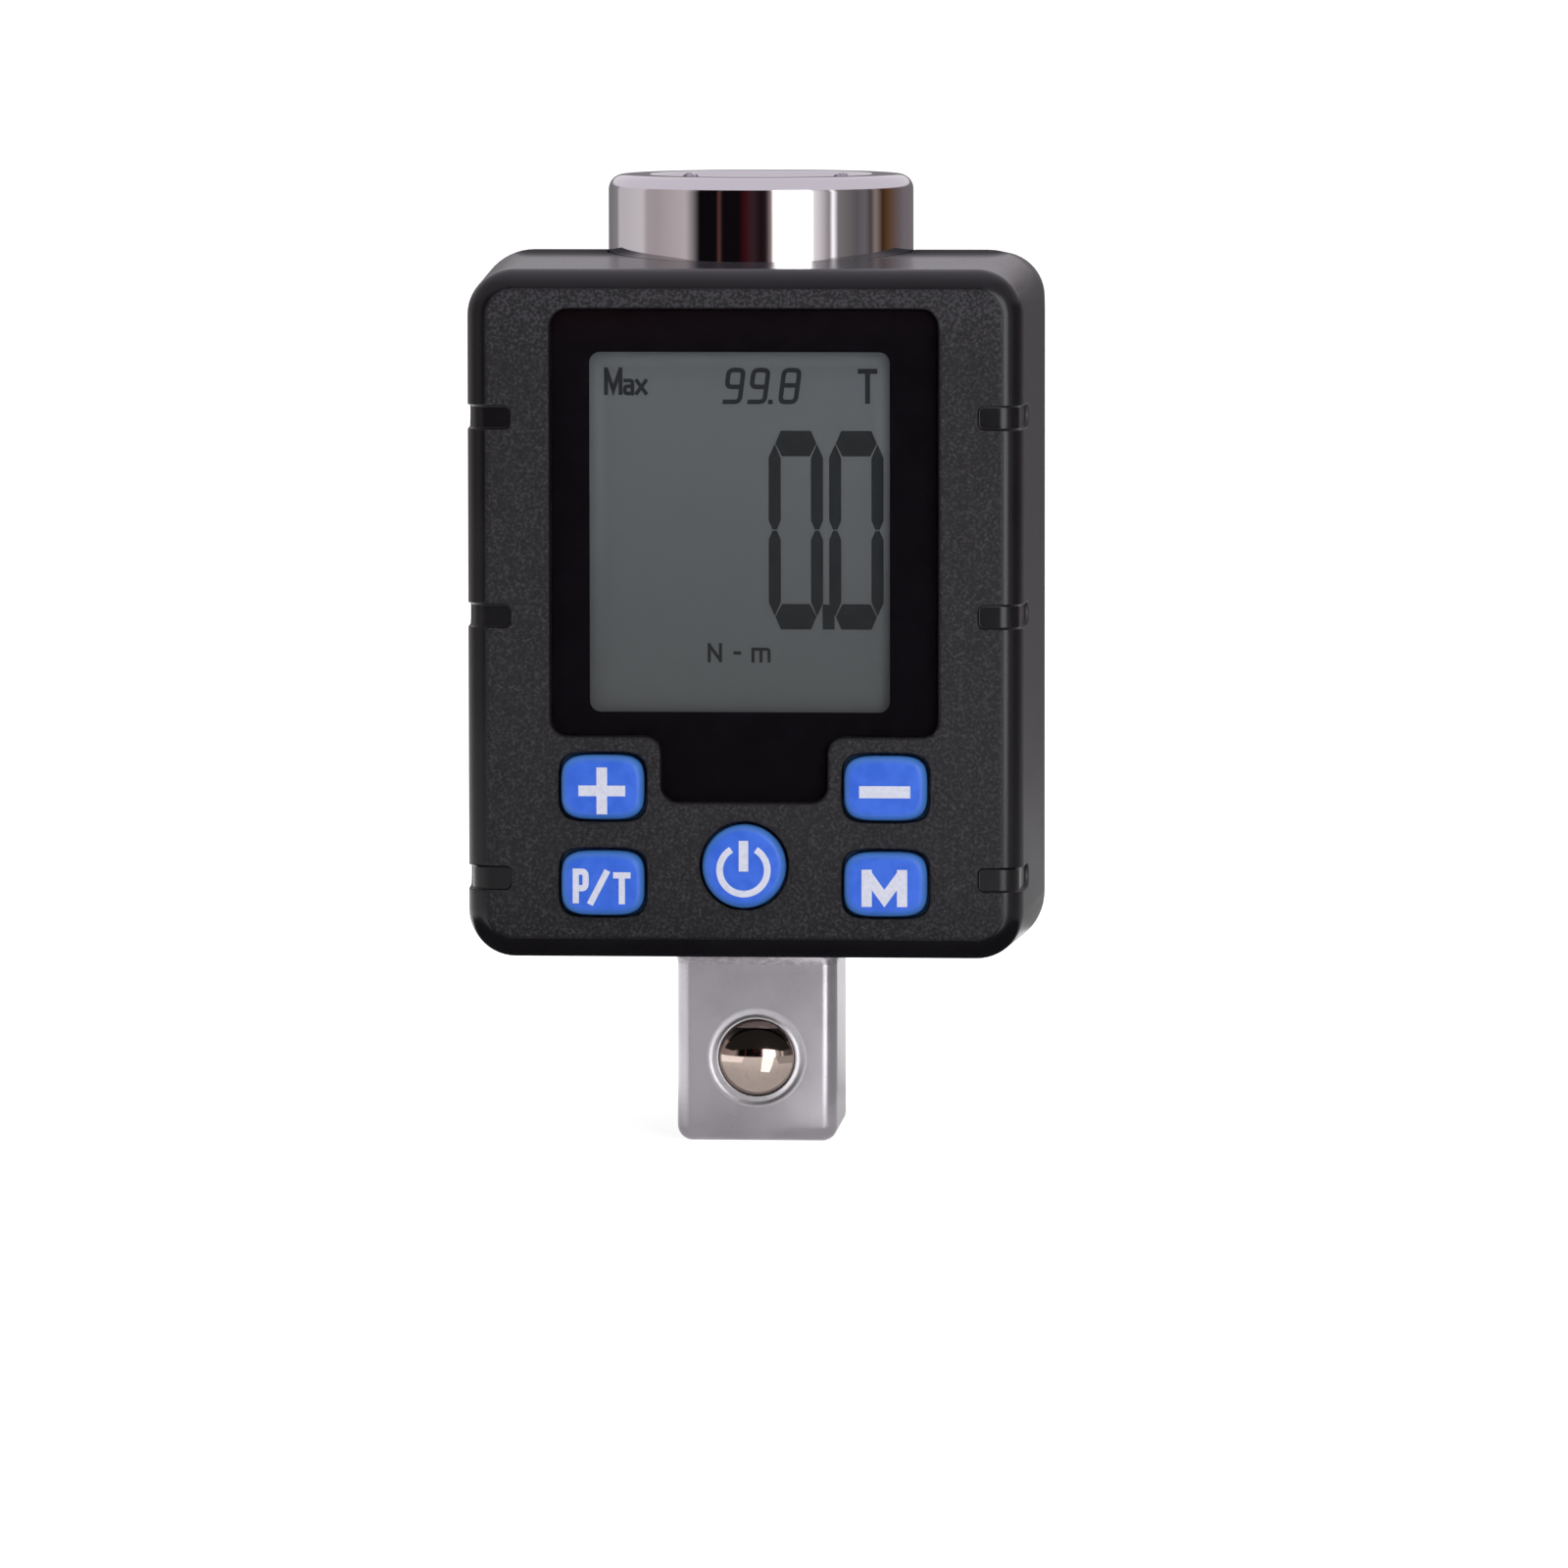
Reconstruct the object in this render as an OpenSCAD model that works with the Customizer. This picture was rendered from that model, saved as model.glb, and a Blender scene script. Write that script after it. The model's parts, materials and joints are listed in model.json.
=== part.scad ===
// Digital torque adapter: a square drive shaft with strain gauges, clamped in a two-part
// plastic housing that carries a display, five keys and two AAA cells.
// The origin is the centre of the square drive's tip, +Z runs up the drive axis to the
// socket head, and the display faces -Y.

/* [Housing] */
// Width of the housing at the parting line
housing_w = 45.1; // [44:0.1:56]
// Height of the housing at the parting line
housing_h = 55.5; // [55:0.1:66]
// Depth of the front cover, from the drive axis to the display face
front_depth = 19.3; // [19:0.1:24]
// Depth of the rear cover, from the drive axis to the battery door
rear_depth = 21; // [20.6:0.1:26]
// Wall thickness of both covers
wall = 2; // [1.8:0.1:2.4]
// Draft of every outer wall, in degrees
draft_angle = 2.7; // [1:0.1:3.5]
// Corner radius of the housing at the parting line
corner_r = 4.5; // [4:0.1:6]
// Radius that rounds the front and rear edges
edge_r = 1.9; // [1.2:0.1:2.2]

/* [Drive shaft] */
// Size of the square drive across its flats
drive_size = 12.7; // [12.6:0.05:12.8]
// Length of the square drive below the housing
drive_length = 15; // [13:0.5:18]
// Radius that rounds the drive's edges
drive_edge_r = 1.2; // [0.6:0.1:1.6]
// Diameter of the socket head
head_d = 24.2; // [23:0.1:24.6]
// Height of the socket head above the housing
head_rise = 6; // [5:0.5:10]
// Depth of the square socket
socket_depth = 15.6; // [15:0.1:16.2]
// Width of the square bar that carries the strain gauges
bar_size = 11; // [10:0.5:12]
// Diameter of the detent ball
ball_d = 7.9; // [7.2:0.1:8]
// How far the detent ball stands out of the drive
ball_rise = 1.3; // [0.9:0.1:1.4]

/* [Display] */
// Width of the window
window_w = 30.2; // [29:0.1:31]
// Height of the window above its tongue
window_h = 33.3; // [32.6:0.1:33.6]
// Width of the tongue below the window
tongue_w = 12.9; // [11:0.1:13.2]
// Height of the tongue
tongue_h = 5.15; // [4:0.05:5.4]
// Width of the visible display area
view_w = 23.45; // [20:0.05:24]
// Height of the visible display area
view_h = 28.1; // [26:0.1:28.4]

/* [Keys] */
// Width of the four corner keys
key_w = 6.45; // [5.6:0.05:6.6]
// Height of the four corner keys
key_h = 5; // [4:0.05:5.2]
// Distance between the two columns of keys
key_spacing_x = 22.1; // [21.9:0.1:22.6]
// Distance between the two rows of keys
key_spacing_z = 7.5; // [7.3:0.1:7.8]
// Diameter of the round power key
power_d = 6.5; // [5.5:0.1:6.6]
// How far the keys stand out of the front face
key_rise = 0.9; // [0.8:0.05:1.2]
// Travel of every key
key_travel = 0.8; // [0.6:0.05:0.8]

/* [Battery compartment] */
// Diameter of a cell
cell_d = 10.5; // [10.2:0.1:10.6]
// Length of a cell with its button
cell_length = 44.5; // [43:0.1:44.9]
// Distance between the two cells' axes
cell_spacing = 26.4; // [26.2:0.1:26.8]
// Thickness of the battery door
door_t = 1.6; // [1.4:0.1:1.8]

/* [Hidden] */
$fn = 72;

// Clearances, shared by every piece
cut_overrun = 1;
fit_gap = 0.1;
slide_gap = 0.15;
key_gap = 0.2;
ball_gap = 0.03;
seat_gap = 0.05;

// Places that the housing sets
bottom_z = drive_length;
top_z = bottom_z + housing_h;
middle_z = bottom_z + housing_h / 2;
half_w = housing_w / 2;
half_h = housing_h / 2;
face_y = -front_depth;
back_y = rear_depth;
front_inner_y = face_y + wall;
back_inner_y = back_y - door_t - fit_gap;
floor_z = bottom_z + wall;
ceiling_z = top_z - wall;
lip_t = 0.9;
lip_h = 1.2;
arc_steps = 8;

// Window, mask and display
window_play = 0.08;
window_recess = 0.15;
window_t = 1;
mask_t = 0.15;
window_r = 1.3;
window_margin = 3.95;
window_top_z = top_z - window_margin;
window_foot_z = window_top_z - window_h;
window_y = face_y + window_recess;
mask_y = window_y + window_t;
ledge_y = mask_y + mask_t;
view_r = 0.85;
view_shift_x = -0.4;
view_z_share = 0.4775;
view_z = window_foot_z + view_z_share * window_h;
view_rim = 0.9;
panel_rim = 1.6;
panel_t = 1.9;
panel_y = front_inner_y + fit_gap;
panel_w = view_w + 2 * panel_rim;
panel_h = view_h + 2 * panel_rim;
panel_frame_t = 0.9;
strip_inset = 0.9;
strip_h = 1.8;

// Circuit board and what it carries
board_gap_y = 3.4;
board_y = front_inner_y + board_gap_y;
board_t = 1.2;
board_back_y = board_y + board_t;
board_inset_x = 3.95;
board_inset_z = 3;
board_inset_top = 4.1;
board_r = 1.5;
board_half_w = half_w - board_inset_x;
board_bottom_z = bottom_z + board_inset_z;
board_top_z = top_z - board_inset_top;
chip_t = 1.2;
chip_x = 11;
processor_size = 7;
amplifier_w = 5;
amplifier_h = 4;
crystal_w = 1.6;
crystal_h = 4.4;
capacitor_w = 1.2;
capacitor_h = 2;
capacitor_pitch = 2.6;
capacitor_count = 5;
connector_w = 7;
connector_h = 3;
connector_t = 2;
buzzer_d = 9;
buzzer_t = 3.8;
buzzer_hole_d = 1.6;
led_w = 1.6;
led_h = 0.8;
led_t = 0.7;
led_spacing = 4.4;
pipe_w = 8.4;
pipe_h = 2.2;
pipe_gap = 0.2;
light_z = window_foot_z - tongue_h / 2;

// Keys, their mat and their contact pads
key_row_rise = 14.3;
power_rise = 1.35;
key_row_z = [bottom_z + key_row_rise, bottom_z + key_row_rise - key_spacing_z];
power_z = key_row_z[1] + power_rise;
key_bulge_share = 4.6;
key_flange = 0.6;
key_flange_t = 0.8;
key_crown_inset = 0.45;
key_crown_h = 0.35;
pill_r = 1.6;
pad_t = 0.1;
pad_r = 1.9;
mat_t = 0.8;
mat_hole_r = 2.2;
mat_half_w = 14.6;
mat_rise_z = 3.2;
pad_y = board_y - pad_t;
pill_y = pad_y - key_travel - fit_gap;
flange_y = front_inner_y + fit_gap;

// Notches round the front cover's long edges
notch_h = 1.8;
notch_depth = 0.3;
notch_inset_x = 4.3;
notch_reach_y = 5.8;
notch_back_y = face_y + notch_reach_y;
notch_corner_r = 0.45;
notch_end_r = 0.85;
notch_z_shares = [0.128, 0.498, 0.777];

// Drive shaft
head_r = head_d / 2;
head_top_z = top_z + head_rise;
head_edge_r = 1.2;
head_foot_chamfer = 0.5;
socket_play = 0.15;
socket_size = drive_size + socket_play;
socket_corner_r = 0.8;
socket_floor_z = head_top_z - socket_depth;
socket_floor_t = 2;
head_foot_z = socket_floor_z - socket_floor_t;
mouth_trim = 0.2;
mouth_r = socket_size / 2 * sqrt(2) - mouth_trim;
mouth_depth = 1.4;
detent_pocket_r = 2.4;
detent_pocket_depth = 1.3;
detent_pocket_share = 0.48;
detent_pocket_z = head_top_z - detent_pocket_share * socket_depth;
journal_r = 9.3;
flange_r = 10.8;
journal_h = wall + flange_r * tan(draft_angle) + fit_gap;
flange_h = 3;
flange_z = bottom_z + journal_h;
bar_z = flange_z + flange_h;
bar_r = 1;
rib_t = 1.5;
rib_z = [bar_z + fit_gap, head_foot_z - fit_gap - rib_t];

// Detent ball, its bore and its spring
ball_r = ball_d / 2;
ball_y = -drive_size / 2 - ball_rise + ball_r;
ball_z_share = 0.447;
ball_z = ball_z_share * drive_length;
lip_depth = 0.4;
lip_y = -drive_size / 2 + lip_depth;
lip_r = sqrt(ball_r ^ 2 - (ball_y - lip_y) ^ 2) + ball_gap;
countersink_r = 3.8;
bore_r = ball_r + ball_gap;
bore_end_y = 4.6;
spring_wire_r = 0.25;
spring_r = 1.9;
spring_turns = 4;
spring_start_y = ball_y + sqrt((ball_r + spring_wire_r + seat_gap) ^ 2 - spring_r ^ 2);
spring_end_y = bore_end_y - spring_wire_r - seat_gap;

// Strain gauges and their ribbon
gauge_t = 0.1;
gauge_w = 7;
gauge_h = 9;
gauge_z = (bar_z + head_foot_z) / 2;
ribbon_t = 0.2;
ribbon_w = 4;
ribbon_bond = 2;
ribbon_bend_r = 2;
ribbon_drop = 6;
ribbon_y = -bar_size / 2 - gauge_t;
ribbon_top_z = gauge_z - gauge_h / 2 + ribbon_bond;
ribbon_low_z = ribbon_top_z - ribbon_drop - ribbon_bend_r;

// Cells, bays and contacts
cell_r = cell_d / 2;
cell_x = cell_spacing / 2;
bay_play = 0.3;
bay_r = cell_r + bay_play;
cell_y = back_inner_y - bay_r + bay_play / 2;
cell_edge_r = 0.5;
button_r = 1.9;
button_h = 0.8;
contact_t = 0.3;
contact_r = cell_r - seat_gap;
contact_tab_w = 3;
contact_tab_y = 5;
battery_wire_r = 0.25;
battery_spring_h = 2.8;
battery_spring_wide_r = 4;
battery_spring_narrow_r = 2.2;
battery_spring_turns = 2.5;
bay_length = cell_length + battery_spring_h + 2 * contact_t;
bay_z = bottom_z + (housing_h - bay_length) / 2 - bay_play;
bay_top_z = bay_z + bay_length;
tray_t = 1.3;
tray_y = cell_y - bay_r - tray_t;
shaft_play = 0.4;
shaft_space_r = head_r + shaft_play;
link_w = 3;
link_y = back_inner_y - link_w - bay_play;
core_wall = 1.7;
core_x = cell_x - bay_r - core_wall;
core_y = shaft_space_r + core_wall;
lead_r = 0.5;

// Battery door
door_margin = 0.45;
sill_h = 2.6;
door_half_w = cell_x + bay_r + door_margin;
door_z = bay_z + sill_h;
door_y = back_y - door_t;
tongue_out = 0.8;
tongue_t = 0.6;
tongue_rise = 3;
tongue_y = door_y + slide_gap;
tongue_z = door_z + tongue_rise;
tongue_top_z = top_z - corner_r;
grip_w = 15;
grip_h = 9;
grip_depth = 0.5;
grip_rise = 8;
grip_z = door_z + grip_rise;
grip_r = 1.5;
ridge_r = 0.45;
ridge_count = 5;
ridge_pitch = grip_h / (ridge_count + 1);

// Screws and bosses
case_screw_out = 4.2;
case_screw_low = 9.5;
case_screw_high = 8.5;
case_screw_x = cell_x + case_screw_out;
case_screw_z = [bottom_z + case_screw_low, top_z - case_screw_high];
case_boss_r = 2.4;
case_shank_r = 1;
case_head_r = 1.7;
case_head_t = 1.2;
case_seat_t = 0.6;
case_seat_y = tray_y + case_seat_t;
case_screw_length = 14;
case_tip_y = case_seat_y - case_screw_length;
board_screw_inset = 2;
board_screw_low = 6.2;
board_screw_high = 9.3;
board_screw_x = board_half_w - board_screw_inset;
board_screw_z = [middle_z - board_screw_low, middle_z + board_screw_high];
board_boss_r = 1.7;
board_shank_r = 0.75;
board_head_r = 1.5;
board_head_t = 1;
board_screw_length = 4;
board_tip_y = board_back_y - board_screw_length;
recess_r = case_head_r + fit_gap;
socket_drive_r = 0.9;
socket_drive_depth = 0.6;

module all_case_screws() {
    for (x = [-case_screw_x, case_screw_x], z = case_screw_z)
        translate([x, 0, z]) children();
}

module all_board_screws() {
    for (x = [-board_screw_x, board_screw_x], z = board_screw_z)
        translate([x, 0, z]) children();
}

// Points on an arc about a centre
function arc(centre, r, from, to) =
    [for (i = [0:arc_steps]) let (a = from + (to - from) * i / arc_steps)
        centre + r * [cos(a), sin(a)]];

// A rectangle about the origin with its corners rounded
function rounded_points(half_x, half_y, r) = concat(
    arc([half_x - r, half_y - r], r, 0, 90),
    arc([r - half_x, half_y - r], r, 90, 180),
    arc([r - half_x, r - half_y], r, 180, 270),
    arc([half_x - r, r - half_y], r, 270, 360));

// Half of the window's outline, from the foot of its tongue up its right side
function window_right(grow) =
    let (
        side = window_w / 2 + grow,
        stem = tongue_w / 2 + grow,
        high = window_top_z + grow,
        step = window_foot_z - grow,
        low = window_foot_z - tongue_h - grow,
        outer = window_r + grow,
        inner = window_r - grow
    )
    concat(
        arc([stem - outer, low + outer], outer, -90, 0),
        arc([stem + inner, step - inner], inner, 180, 90),
        arc([side - outer, step + outer], outer, -90, 0),
        arc([side - outer, high - outer], outer, 0, 90));

function mirrored(points) =
    [for (i = [len(points) - 1:-1:0]) [-points[i].x, points[i].y]];

// Outline of a key: a rectangle whose sides bulge a little
function key_points(grow) =
    let (steps = 40, bulge = 2 / key_bulge_share)
    [for (i = [0:steps - 1]) let (a = 360 * i / steps, c = cos(a), s = sin(a))
        [(key_w / 2 + grow) * sign(c) * abs(c) ^ bulge,
         (key_h / 2 + grow) * sign(s) * abs(s) ^ bulge]];

// Half section of a drafted slab, from its corner axis out to the wall
function slab_section(reach, depth, edge, draft) =
    let (
        centre_v = depth - edge,
        centre_u = reach - edge / cos(draft) - centre_v * tan(draft)
    )
    concat([[0, 0], [reach, 0]], arc([centre_u, centre_v], edge, draft, 90), [[0, depth]]);

// A slab with rounded corners, drafted sides and a rounded far edge, from z = 0 up
module drafted_slab(half_x, half_y, depth, corner, edge, draft) {
    section = slab_section(corner, depth, edge, draft);
    flat = [half_x - corner, half_y - corner];
    translate([-flat.x, -flat.y, 0]) cube([2 * flat.x, 2 * flat.y, depth]);
    for (side = [0:3])
        rotate(90 * side) {
            out = side % 2 == 0 ? flat.x : flat.y;
            run = side % 2 == 0 ? flat.y : flat.x;
            translate([out, run, 0]) {
                rotate([90, 0, 0]) linear_extrude(2 * run) polygon(section);
                rotate_extrude(angle = 90) polygon(section);
            }
        }
}

// The housing's outer form, drawn in by an inset, from the parting plane to one face
module housing_form(depth, inset, edge) {
    drafted_slab(half_w - inset, half_h - inset, depth - inset, corner_r - inset, edge, draft_angle);
}

module front_form(inset, edge) {
    translate([0, 0, middle_z]) rotate([90, 0, 0]) housing_form(front_depth, inset, edge);
}

module rear_form(inset, edge) {
    translate([0, 0, middle_z]) rotate([-90, 0, 0]) housing_form(rear_depth, inset, edge);
}

// A prism along Y between two planes, drawn as seen from the display side
module prism(from_y, to_y) {
    translate([0, to_y, 0]) rotate([90, 0, 0]) linear_extrude(to_y - from_y) children();
}

module block(half_x, half_z, from_y, to_y, r) {
    prism(from_y, to_y) polygon(rounded_points(half_x, half_z, r));
}

// A cylinder along Y
module rod(r, from_y, to_y) {
    translate([0, to_y, 0]) rotate([90, 0, 0]) cylinder(r = r, h = to_y - from_y);
}

module window_outline(grow) {
    polygon(concat(window_right(grow), mirrored(window_right(grow))));
}

module view_outline(grow) {
    translate([view_shift_x, view_z])
        polygon(rounded_points(view_w / 2 + grow, view_h / 2 + grow, view_r));
}

// Ring just inside the outer wall, which the covers' lip and rebate share
module parting_ring(outer, inner, from_y, to_y) {
    translate([0, 0, middle_z]) difference() {
        block(half_w - outer, half_h - outer, from_y, to_y, corner_r - outer);
        block(half_w - inner, half_h - inner, from_y - cut_overrun, to_y + cut_overrun,
            corner_r - inner);
    }
}

// Everything that the shaft needs free in the covers' end walls
module shaft_openings() {
    translate([0, 0, bottom_z - cut_overrun])
        cylinder(r = journal_r + fit_gap, h = wall + 2 * cut_overrun);
    translate([0, 0, ceiling_z - cut_overrun])
        cylinder(r = head_r + fit_gap, h = wall + 2 * cut_overrun);
}

// Square notch through a rib, which keeps the gauge bar from turning
module bar_notch() {
    side = bar_size + 2 * fit_gap;
    translate([-side / 2, -side / 2, bar_z - cut_overrun])
        cube([side, side, head_foot_z - bar_z + 2 * cut_overrun]);
}

module notch(z) {
    intersection() {
        translate([half_w, 0, z])
            block(notch_inset_x, notch_h / 2, face_y - cut_overrun, notch_back_y, notch_corner_r);
        translate([0, face_y, z]) rotate([90, 0, 90])
            linear_extrude(half_w + cut_overrun)
                polygon(rounded_points(notch_back_y - face_y, notch_h / 2, notch_end_r));
    }
}

module notches() {
    difference() {
        for (share = notch_z_shares, side = [0, 1])
            mirror([side, 0, 0]) notch(bottom_z + share * housing_h);
        front_form(notch_depth, edge_r - notch_depth);
    }
}

module key_openings() {
    for (x = [-key_spacing_x / 2, key_spacing_x / 2], z = key_row_z)
        prism(face_y - cut_overrun, front_inner_y + cut_overrun)
            translate([x, z]) polygon(key_points(key_gap));
    translate([0, 0, power_z])
        rod(power_d / 2 + key_gap, face_y - cut_overrun, front_inner_y + cut_overrun);
}

module front_cover() {
    color([0.09, 0.09, 0.1]) difference() {
        union() {
            difference() {
                front_form(0, edge_r);
                front_form(wall, fit_gap);
            }
            parting_ring(wall - lip_t, wall - seat_gap, -wall, lip_h);
            all_case_screws() rod(case_boss_r, front_inner_y - fit_gap, 0);
            all_board_screws() rod(board_boss_r, front_inner_y - fit_gap, board_y);
            for (z = rib_z)
                translate([wall - half_w, board_back_y + shaft_play, z])
                    cube([housing_w - 2 * wall, -board_back_y - shaft_play, rib_t]);
        }
        prism(face_y - cut_overrun, ledge_y) window_outline(0);
        prism(face_y, front_inner_y + cut_overrun) view_outline(view_rim);
        translate([0, 0, light_z])
            block(pipe_w / 2 + fit_gap, pipe_h / 2 + fit_gap, face_y,
                front_inner_y + cut_overrun, pipe_gap);
        key_openings();
        shaft_openings();
        bar_notch();
        notches();
        all_case_screws() rod(case_shank_r + seat_gap, case_tip_y - fit_gap, cut_overrun);
        all_board_screws() rod(board_shank_r + seat_gap, board_tip_y - fit_gap, board_y + cut_overrun);
    }
}

// One bay, open towards the door
module bay() {
    translate([cell_x, cell_y, bay_z]) {
        cylinder(r = bay_r, h = bay_length);
        translate([-bay_r, 0, 0]) cube([2 * bay_r, back_inner_y - cell_y, bay_length]);
    }
}

module bays() {
    for (side = [0, 1]) mirror([side, 0, 0]) bay();
}

// Space in the rear cover for the shaft and the electronics
module rear_space() {
    intersection() {
        rear_form(wall, fit_gap);
        translate([-housing_w, -cut_overrun, bottom_z])
            cube([2 * housing_w, tray_y + cut_overrun, housing_h]);
    }
    translate([0, 0, floor_z]) cylinder(r = shaft_space_r, h = ceiling_z - floor_z);
}

module door_opening() {
    reach = door_half_w + slide_gap;
    translate([-reach, back_inner_y, door_z - slide_gap])
        cube([2 * reach, rear_depth, housing_h]);
    slot = reach + tongue_out;
    translate([-slot, tongue_y - fit_gap, tongue_z - slide_gap])
        cube([2 * slot, tongue_t + 2 * fit_gap, housing_h]);
}

module contact_slots() {
    for (side = [-1, 1])
        translate([side * cell_x - contact_tab_w / 2 - fit_gap, tray_y - cut_overrun, bay_z])
            cube([contact_tab_w + 2 * fit_gap, cell_y - tray_y, contact_t + fit_gap]);
    translate([-cell_x, link_y - fit_gap, bay_top_z - contact_t - fit_gap])
        cube([2 * cell_x, back_inner_y - link_y + fit_gap, contact_t + fit_gap]);
}

module rear_cover() {
    color([0.09, 0.09, 0.1]) difference() {
        union() {
            difference() {
                rear_form(0, edge_r);
                rear_space();
            }
            all_case_screws() rod(case_boss_r, 0, tray_y + fit_gap);
            for (z = rib_z)
                translate([0, 0, z]) intersection() {
                    cylinder(r = shaft_space_r + fit_gap, h = rib_t);
                    translate([-half_w, 0, 0]) cube([housing_w, housing_w, rib_t]);
                }
        }
        bays();
        translate([-core_x, core_y, door_z])
            cube([2 * core_x, back_inner_y - core_y, bay_top_z - door_z - contact_t]);
        contact_slots();
        door_opening();
        shaft_openings();
        bar_notch();
        parting_ring(wall - lip_t - fit_gap, wall + fit_gap, -cut_overrun, lip_h + fit_gap);
        all_case_screws() {
            rod(case_shank_r + fit_gap, -cut_overrun, case_seat_y + cut_overrun);
            rod(recess_r, case_seat_y, cell_y);
        }
    }
}

module battery_door() {
    color([0.1, 0.1, 0.11]) {
        difference() {
            intersection() {
                rear_form(0, edge_r);
                translate([-door_half_w, door_y, door_z])
                    cube([2 * door_half_w, rear_depth, housing_h]);
            }
            translate([0, 0, grip_z])
                block(grip_w / 2, grip_h / 2, back_y - grip_depth, back_y + cut_overrun, grip_r);
        }
        for (side = [0, 1])
            mirror([side, 0, 0]) translate([door_half_w, tongue_y, tongue_z])
                cube([tongue_out, tongue_t, tongue_top_z - tongue_z]);
        for (i = [1:ridge_count])
            translate([0, back_y - grip_depth, grip_z - grip_h / 2 + i * ridge_pitch])
                rotate([0, 90, 0]) cylinder(r = ridge_r, h = grip_w - 2 * grip_r, center = true);
    }
}

module display_window() {
    color([0.2, 0.2, 0.22, 0.4]) prism(window_y, mask_y) window_outline(-window_play);
}

module window_mask() {
    color([0.02, 0.02, 0.02]) prism(mask_y, ledge_y) difference() {
        window_outline(-window_play);
        view_outline(0);
    }
}

module lcd_panel() {
    color([0.36, 0.38, 0.39]) translate([view_shift_x, 0, view_z])
        block(panel_w / 2, panel_h / 2, panel_y, panel_y + panel_t, fit_gap);
}

module lcd_frame() {
    half = [panel_w / 2 + fit_gap, panel_h / 2 + fit_gap];
    color([0.15, 0.15, 0.16]) translate([view_shift_x, 0, view_z]) difference() {
        block(half.x + panel_frame_t, half.y + panel_frame_t, panel_y, board_y, panel_frame_t);
        block(half.x, half.y, panel_y - cut_overrun, board_y + cut_overrun, fit_gap);
    }
}

module lcd_strips() {
    color([0.75, 0.35, 0.45])
        for (side = [-1, 1])
            translate([view_shift_x, 0, view_z + side * (panel_h / 2 - strip_inset - strip_h / 2)])
                block(view_w / 2, strip_h / 2, panel_y + panel_t, board_y, fit_gap);
}

module light_pipe() {
    color([0.85, 0.88, 0.9, 0.5]) translate([0, 0, light_z])
        block(pipe_w / 2, pipe_h / 2, ledge_y, board_y - led_t - pipe_gap, pipe_gap);
}

module circuit_board() {
    half_z = (board_top_z - board_bottom_z) / 2;
    color([0.05, 0.3, 0.15]) difference() {
        translate([0, 0, board_bottom_z + half_z])
            block(board_half_w, half_z, board_y, board_back_y, board_r);
        all_case_screws()
            rod(case_boss_r + pipe_gap, board_y - cut_overrun, board_back_y + cut_overrun);
        all_board_screws()
            rod(board_shank_r + fit_gap, board_y - cut_overrun, board_back_y + cut_overrun);
    }
}

// A chip on the back of the board
module chip(x, z, w, h) {
    translate([x, 0, z]) block(w / 2, h / 2, board_back_y, board_back_y + chip_t, pipe_gap);
}

module board_chips() {
    color([0.08, 0.08, 0.09]) {
        chip(-chip_x, gauge_z + processor_size / 2, processor_size, processor_size);
        chip(-chip_x, gauge_z - amplifier_h, amplifier_w, amplifier_h);
        chip(processor_size - chip_x, gauge_z + processor_size, crystal_w, crystal_h);
        for (i = [0:capacitor_count - 1])
            chip(i * capacitor_pitch - chip_x, gauge_z - 2 * processor_size, capacitor_w, capacitor_h);
    }
}

module board_connector() {
    color([0.9, 0.88, 0.8]) translate([0, 0, ribbon_low_z])
        block(connector_w / 2, connector_h / 2, board_back_y, board_back_y + connector_t, fit_gap);
}

module buzzer() {
    color([0.1, 0.1, 0.1]) translate([chip_x, 0, gauge_z + processor_size / 2])
        difference() {
            rod(buzzer_d / 2, board_back_y, board_back_y + buzzer_t);
            rod(buzzer_hole_d / 2, board_back_y + buzzer_t / 2, board_back_y + buzzer_t + cut_overrun);
        }
}

module indicator_leds() {
    color([0.9, 0.9, 0.8])
        for (side = [-1, 1])
            translate([side * led_spacing / 2, 0, light_z])
                block(led_w / 2, led_h / 2, board_y - led_t, board_y, fit_gap);
}

// Centre of every key, with the power key last
key_places = [
    [-key_spacing_x / 2, key_row_z[0]], [key_spacing_x / 2, key_row_z[0]],
    [-key_spacing_x / 2, key_row_z[1]], [key_spacing_x / 2, key_row_z[1]],
    [0, power_z]];

module key_pads() {
    color([0.85, 0.7, 0.3])
        for (place = key_places)
            translate([place.x, 0, place.y]) rod(pad_r, pad_y, board_y);
}

module key_mat() {
    mat_top_z = key_row_z[0] + mat_rise_z;
    half_z = (mat_top_z - board_bottom_z) / 2;
    color([0.2, 0.2, 0.22]) difference() {
        translate([0, 0, board_bottom_z + half_z])
            block(mat_half_w, half_z - fit_gap, board_y - mat_t, board_y, board_r);
        for (place = key_places)
            translate([place.x, 0, place.y])
                rod(mat_hole_r, board_y - mat_t - cut_overrun, board_y + cut_overrun);
        translate([0, 0, light_z])
            block(pipe_w / 2 + pipe_gap, pipe_h / 2 + pipe_gap, board_y - mat_t - cut_overrun,
                board_y + cut_overrun, pipe_gap);
    }
}

// A corner key: crown, cap, flange behind the cover, and contact pill
module corner_key(place) {
    color([0.25, 0.43, 0.9]) translate([place.x, 0, place.y]) {
        crown_y = face_y - key_rise;
        prism(crown_y, flange_y) polygon(key_points(-key_crown_inset));
        prism(crown_y + key_crown_h, flange_y) polygon(key_points(0));
        prism(flange_y, flange_y + key_flange_t) polygon(key_points(key_flange));
        rod(pill_r, flange_y, pill_y);
    }
}

module plus_key() { corner_key(key_places[0]); }

module minus_key() { corner_key(key_places[1]); }

module mode_key() { corner_key(key_places[2]); }

module memory_key() { corner_key(key_places[3]); }

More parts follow.
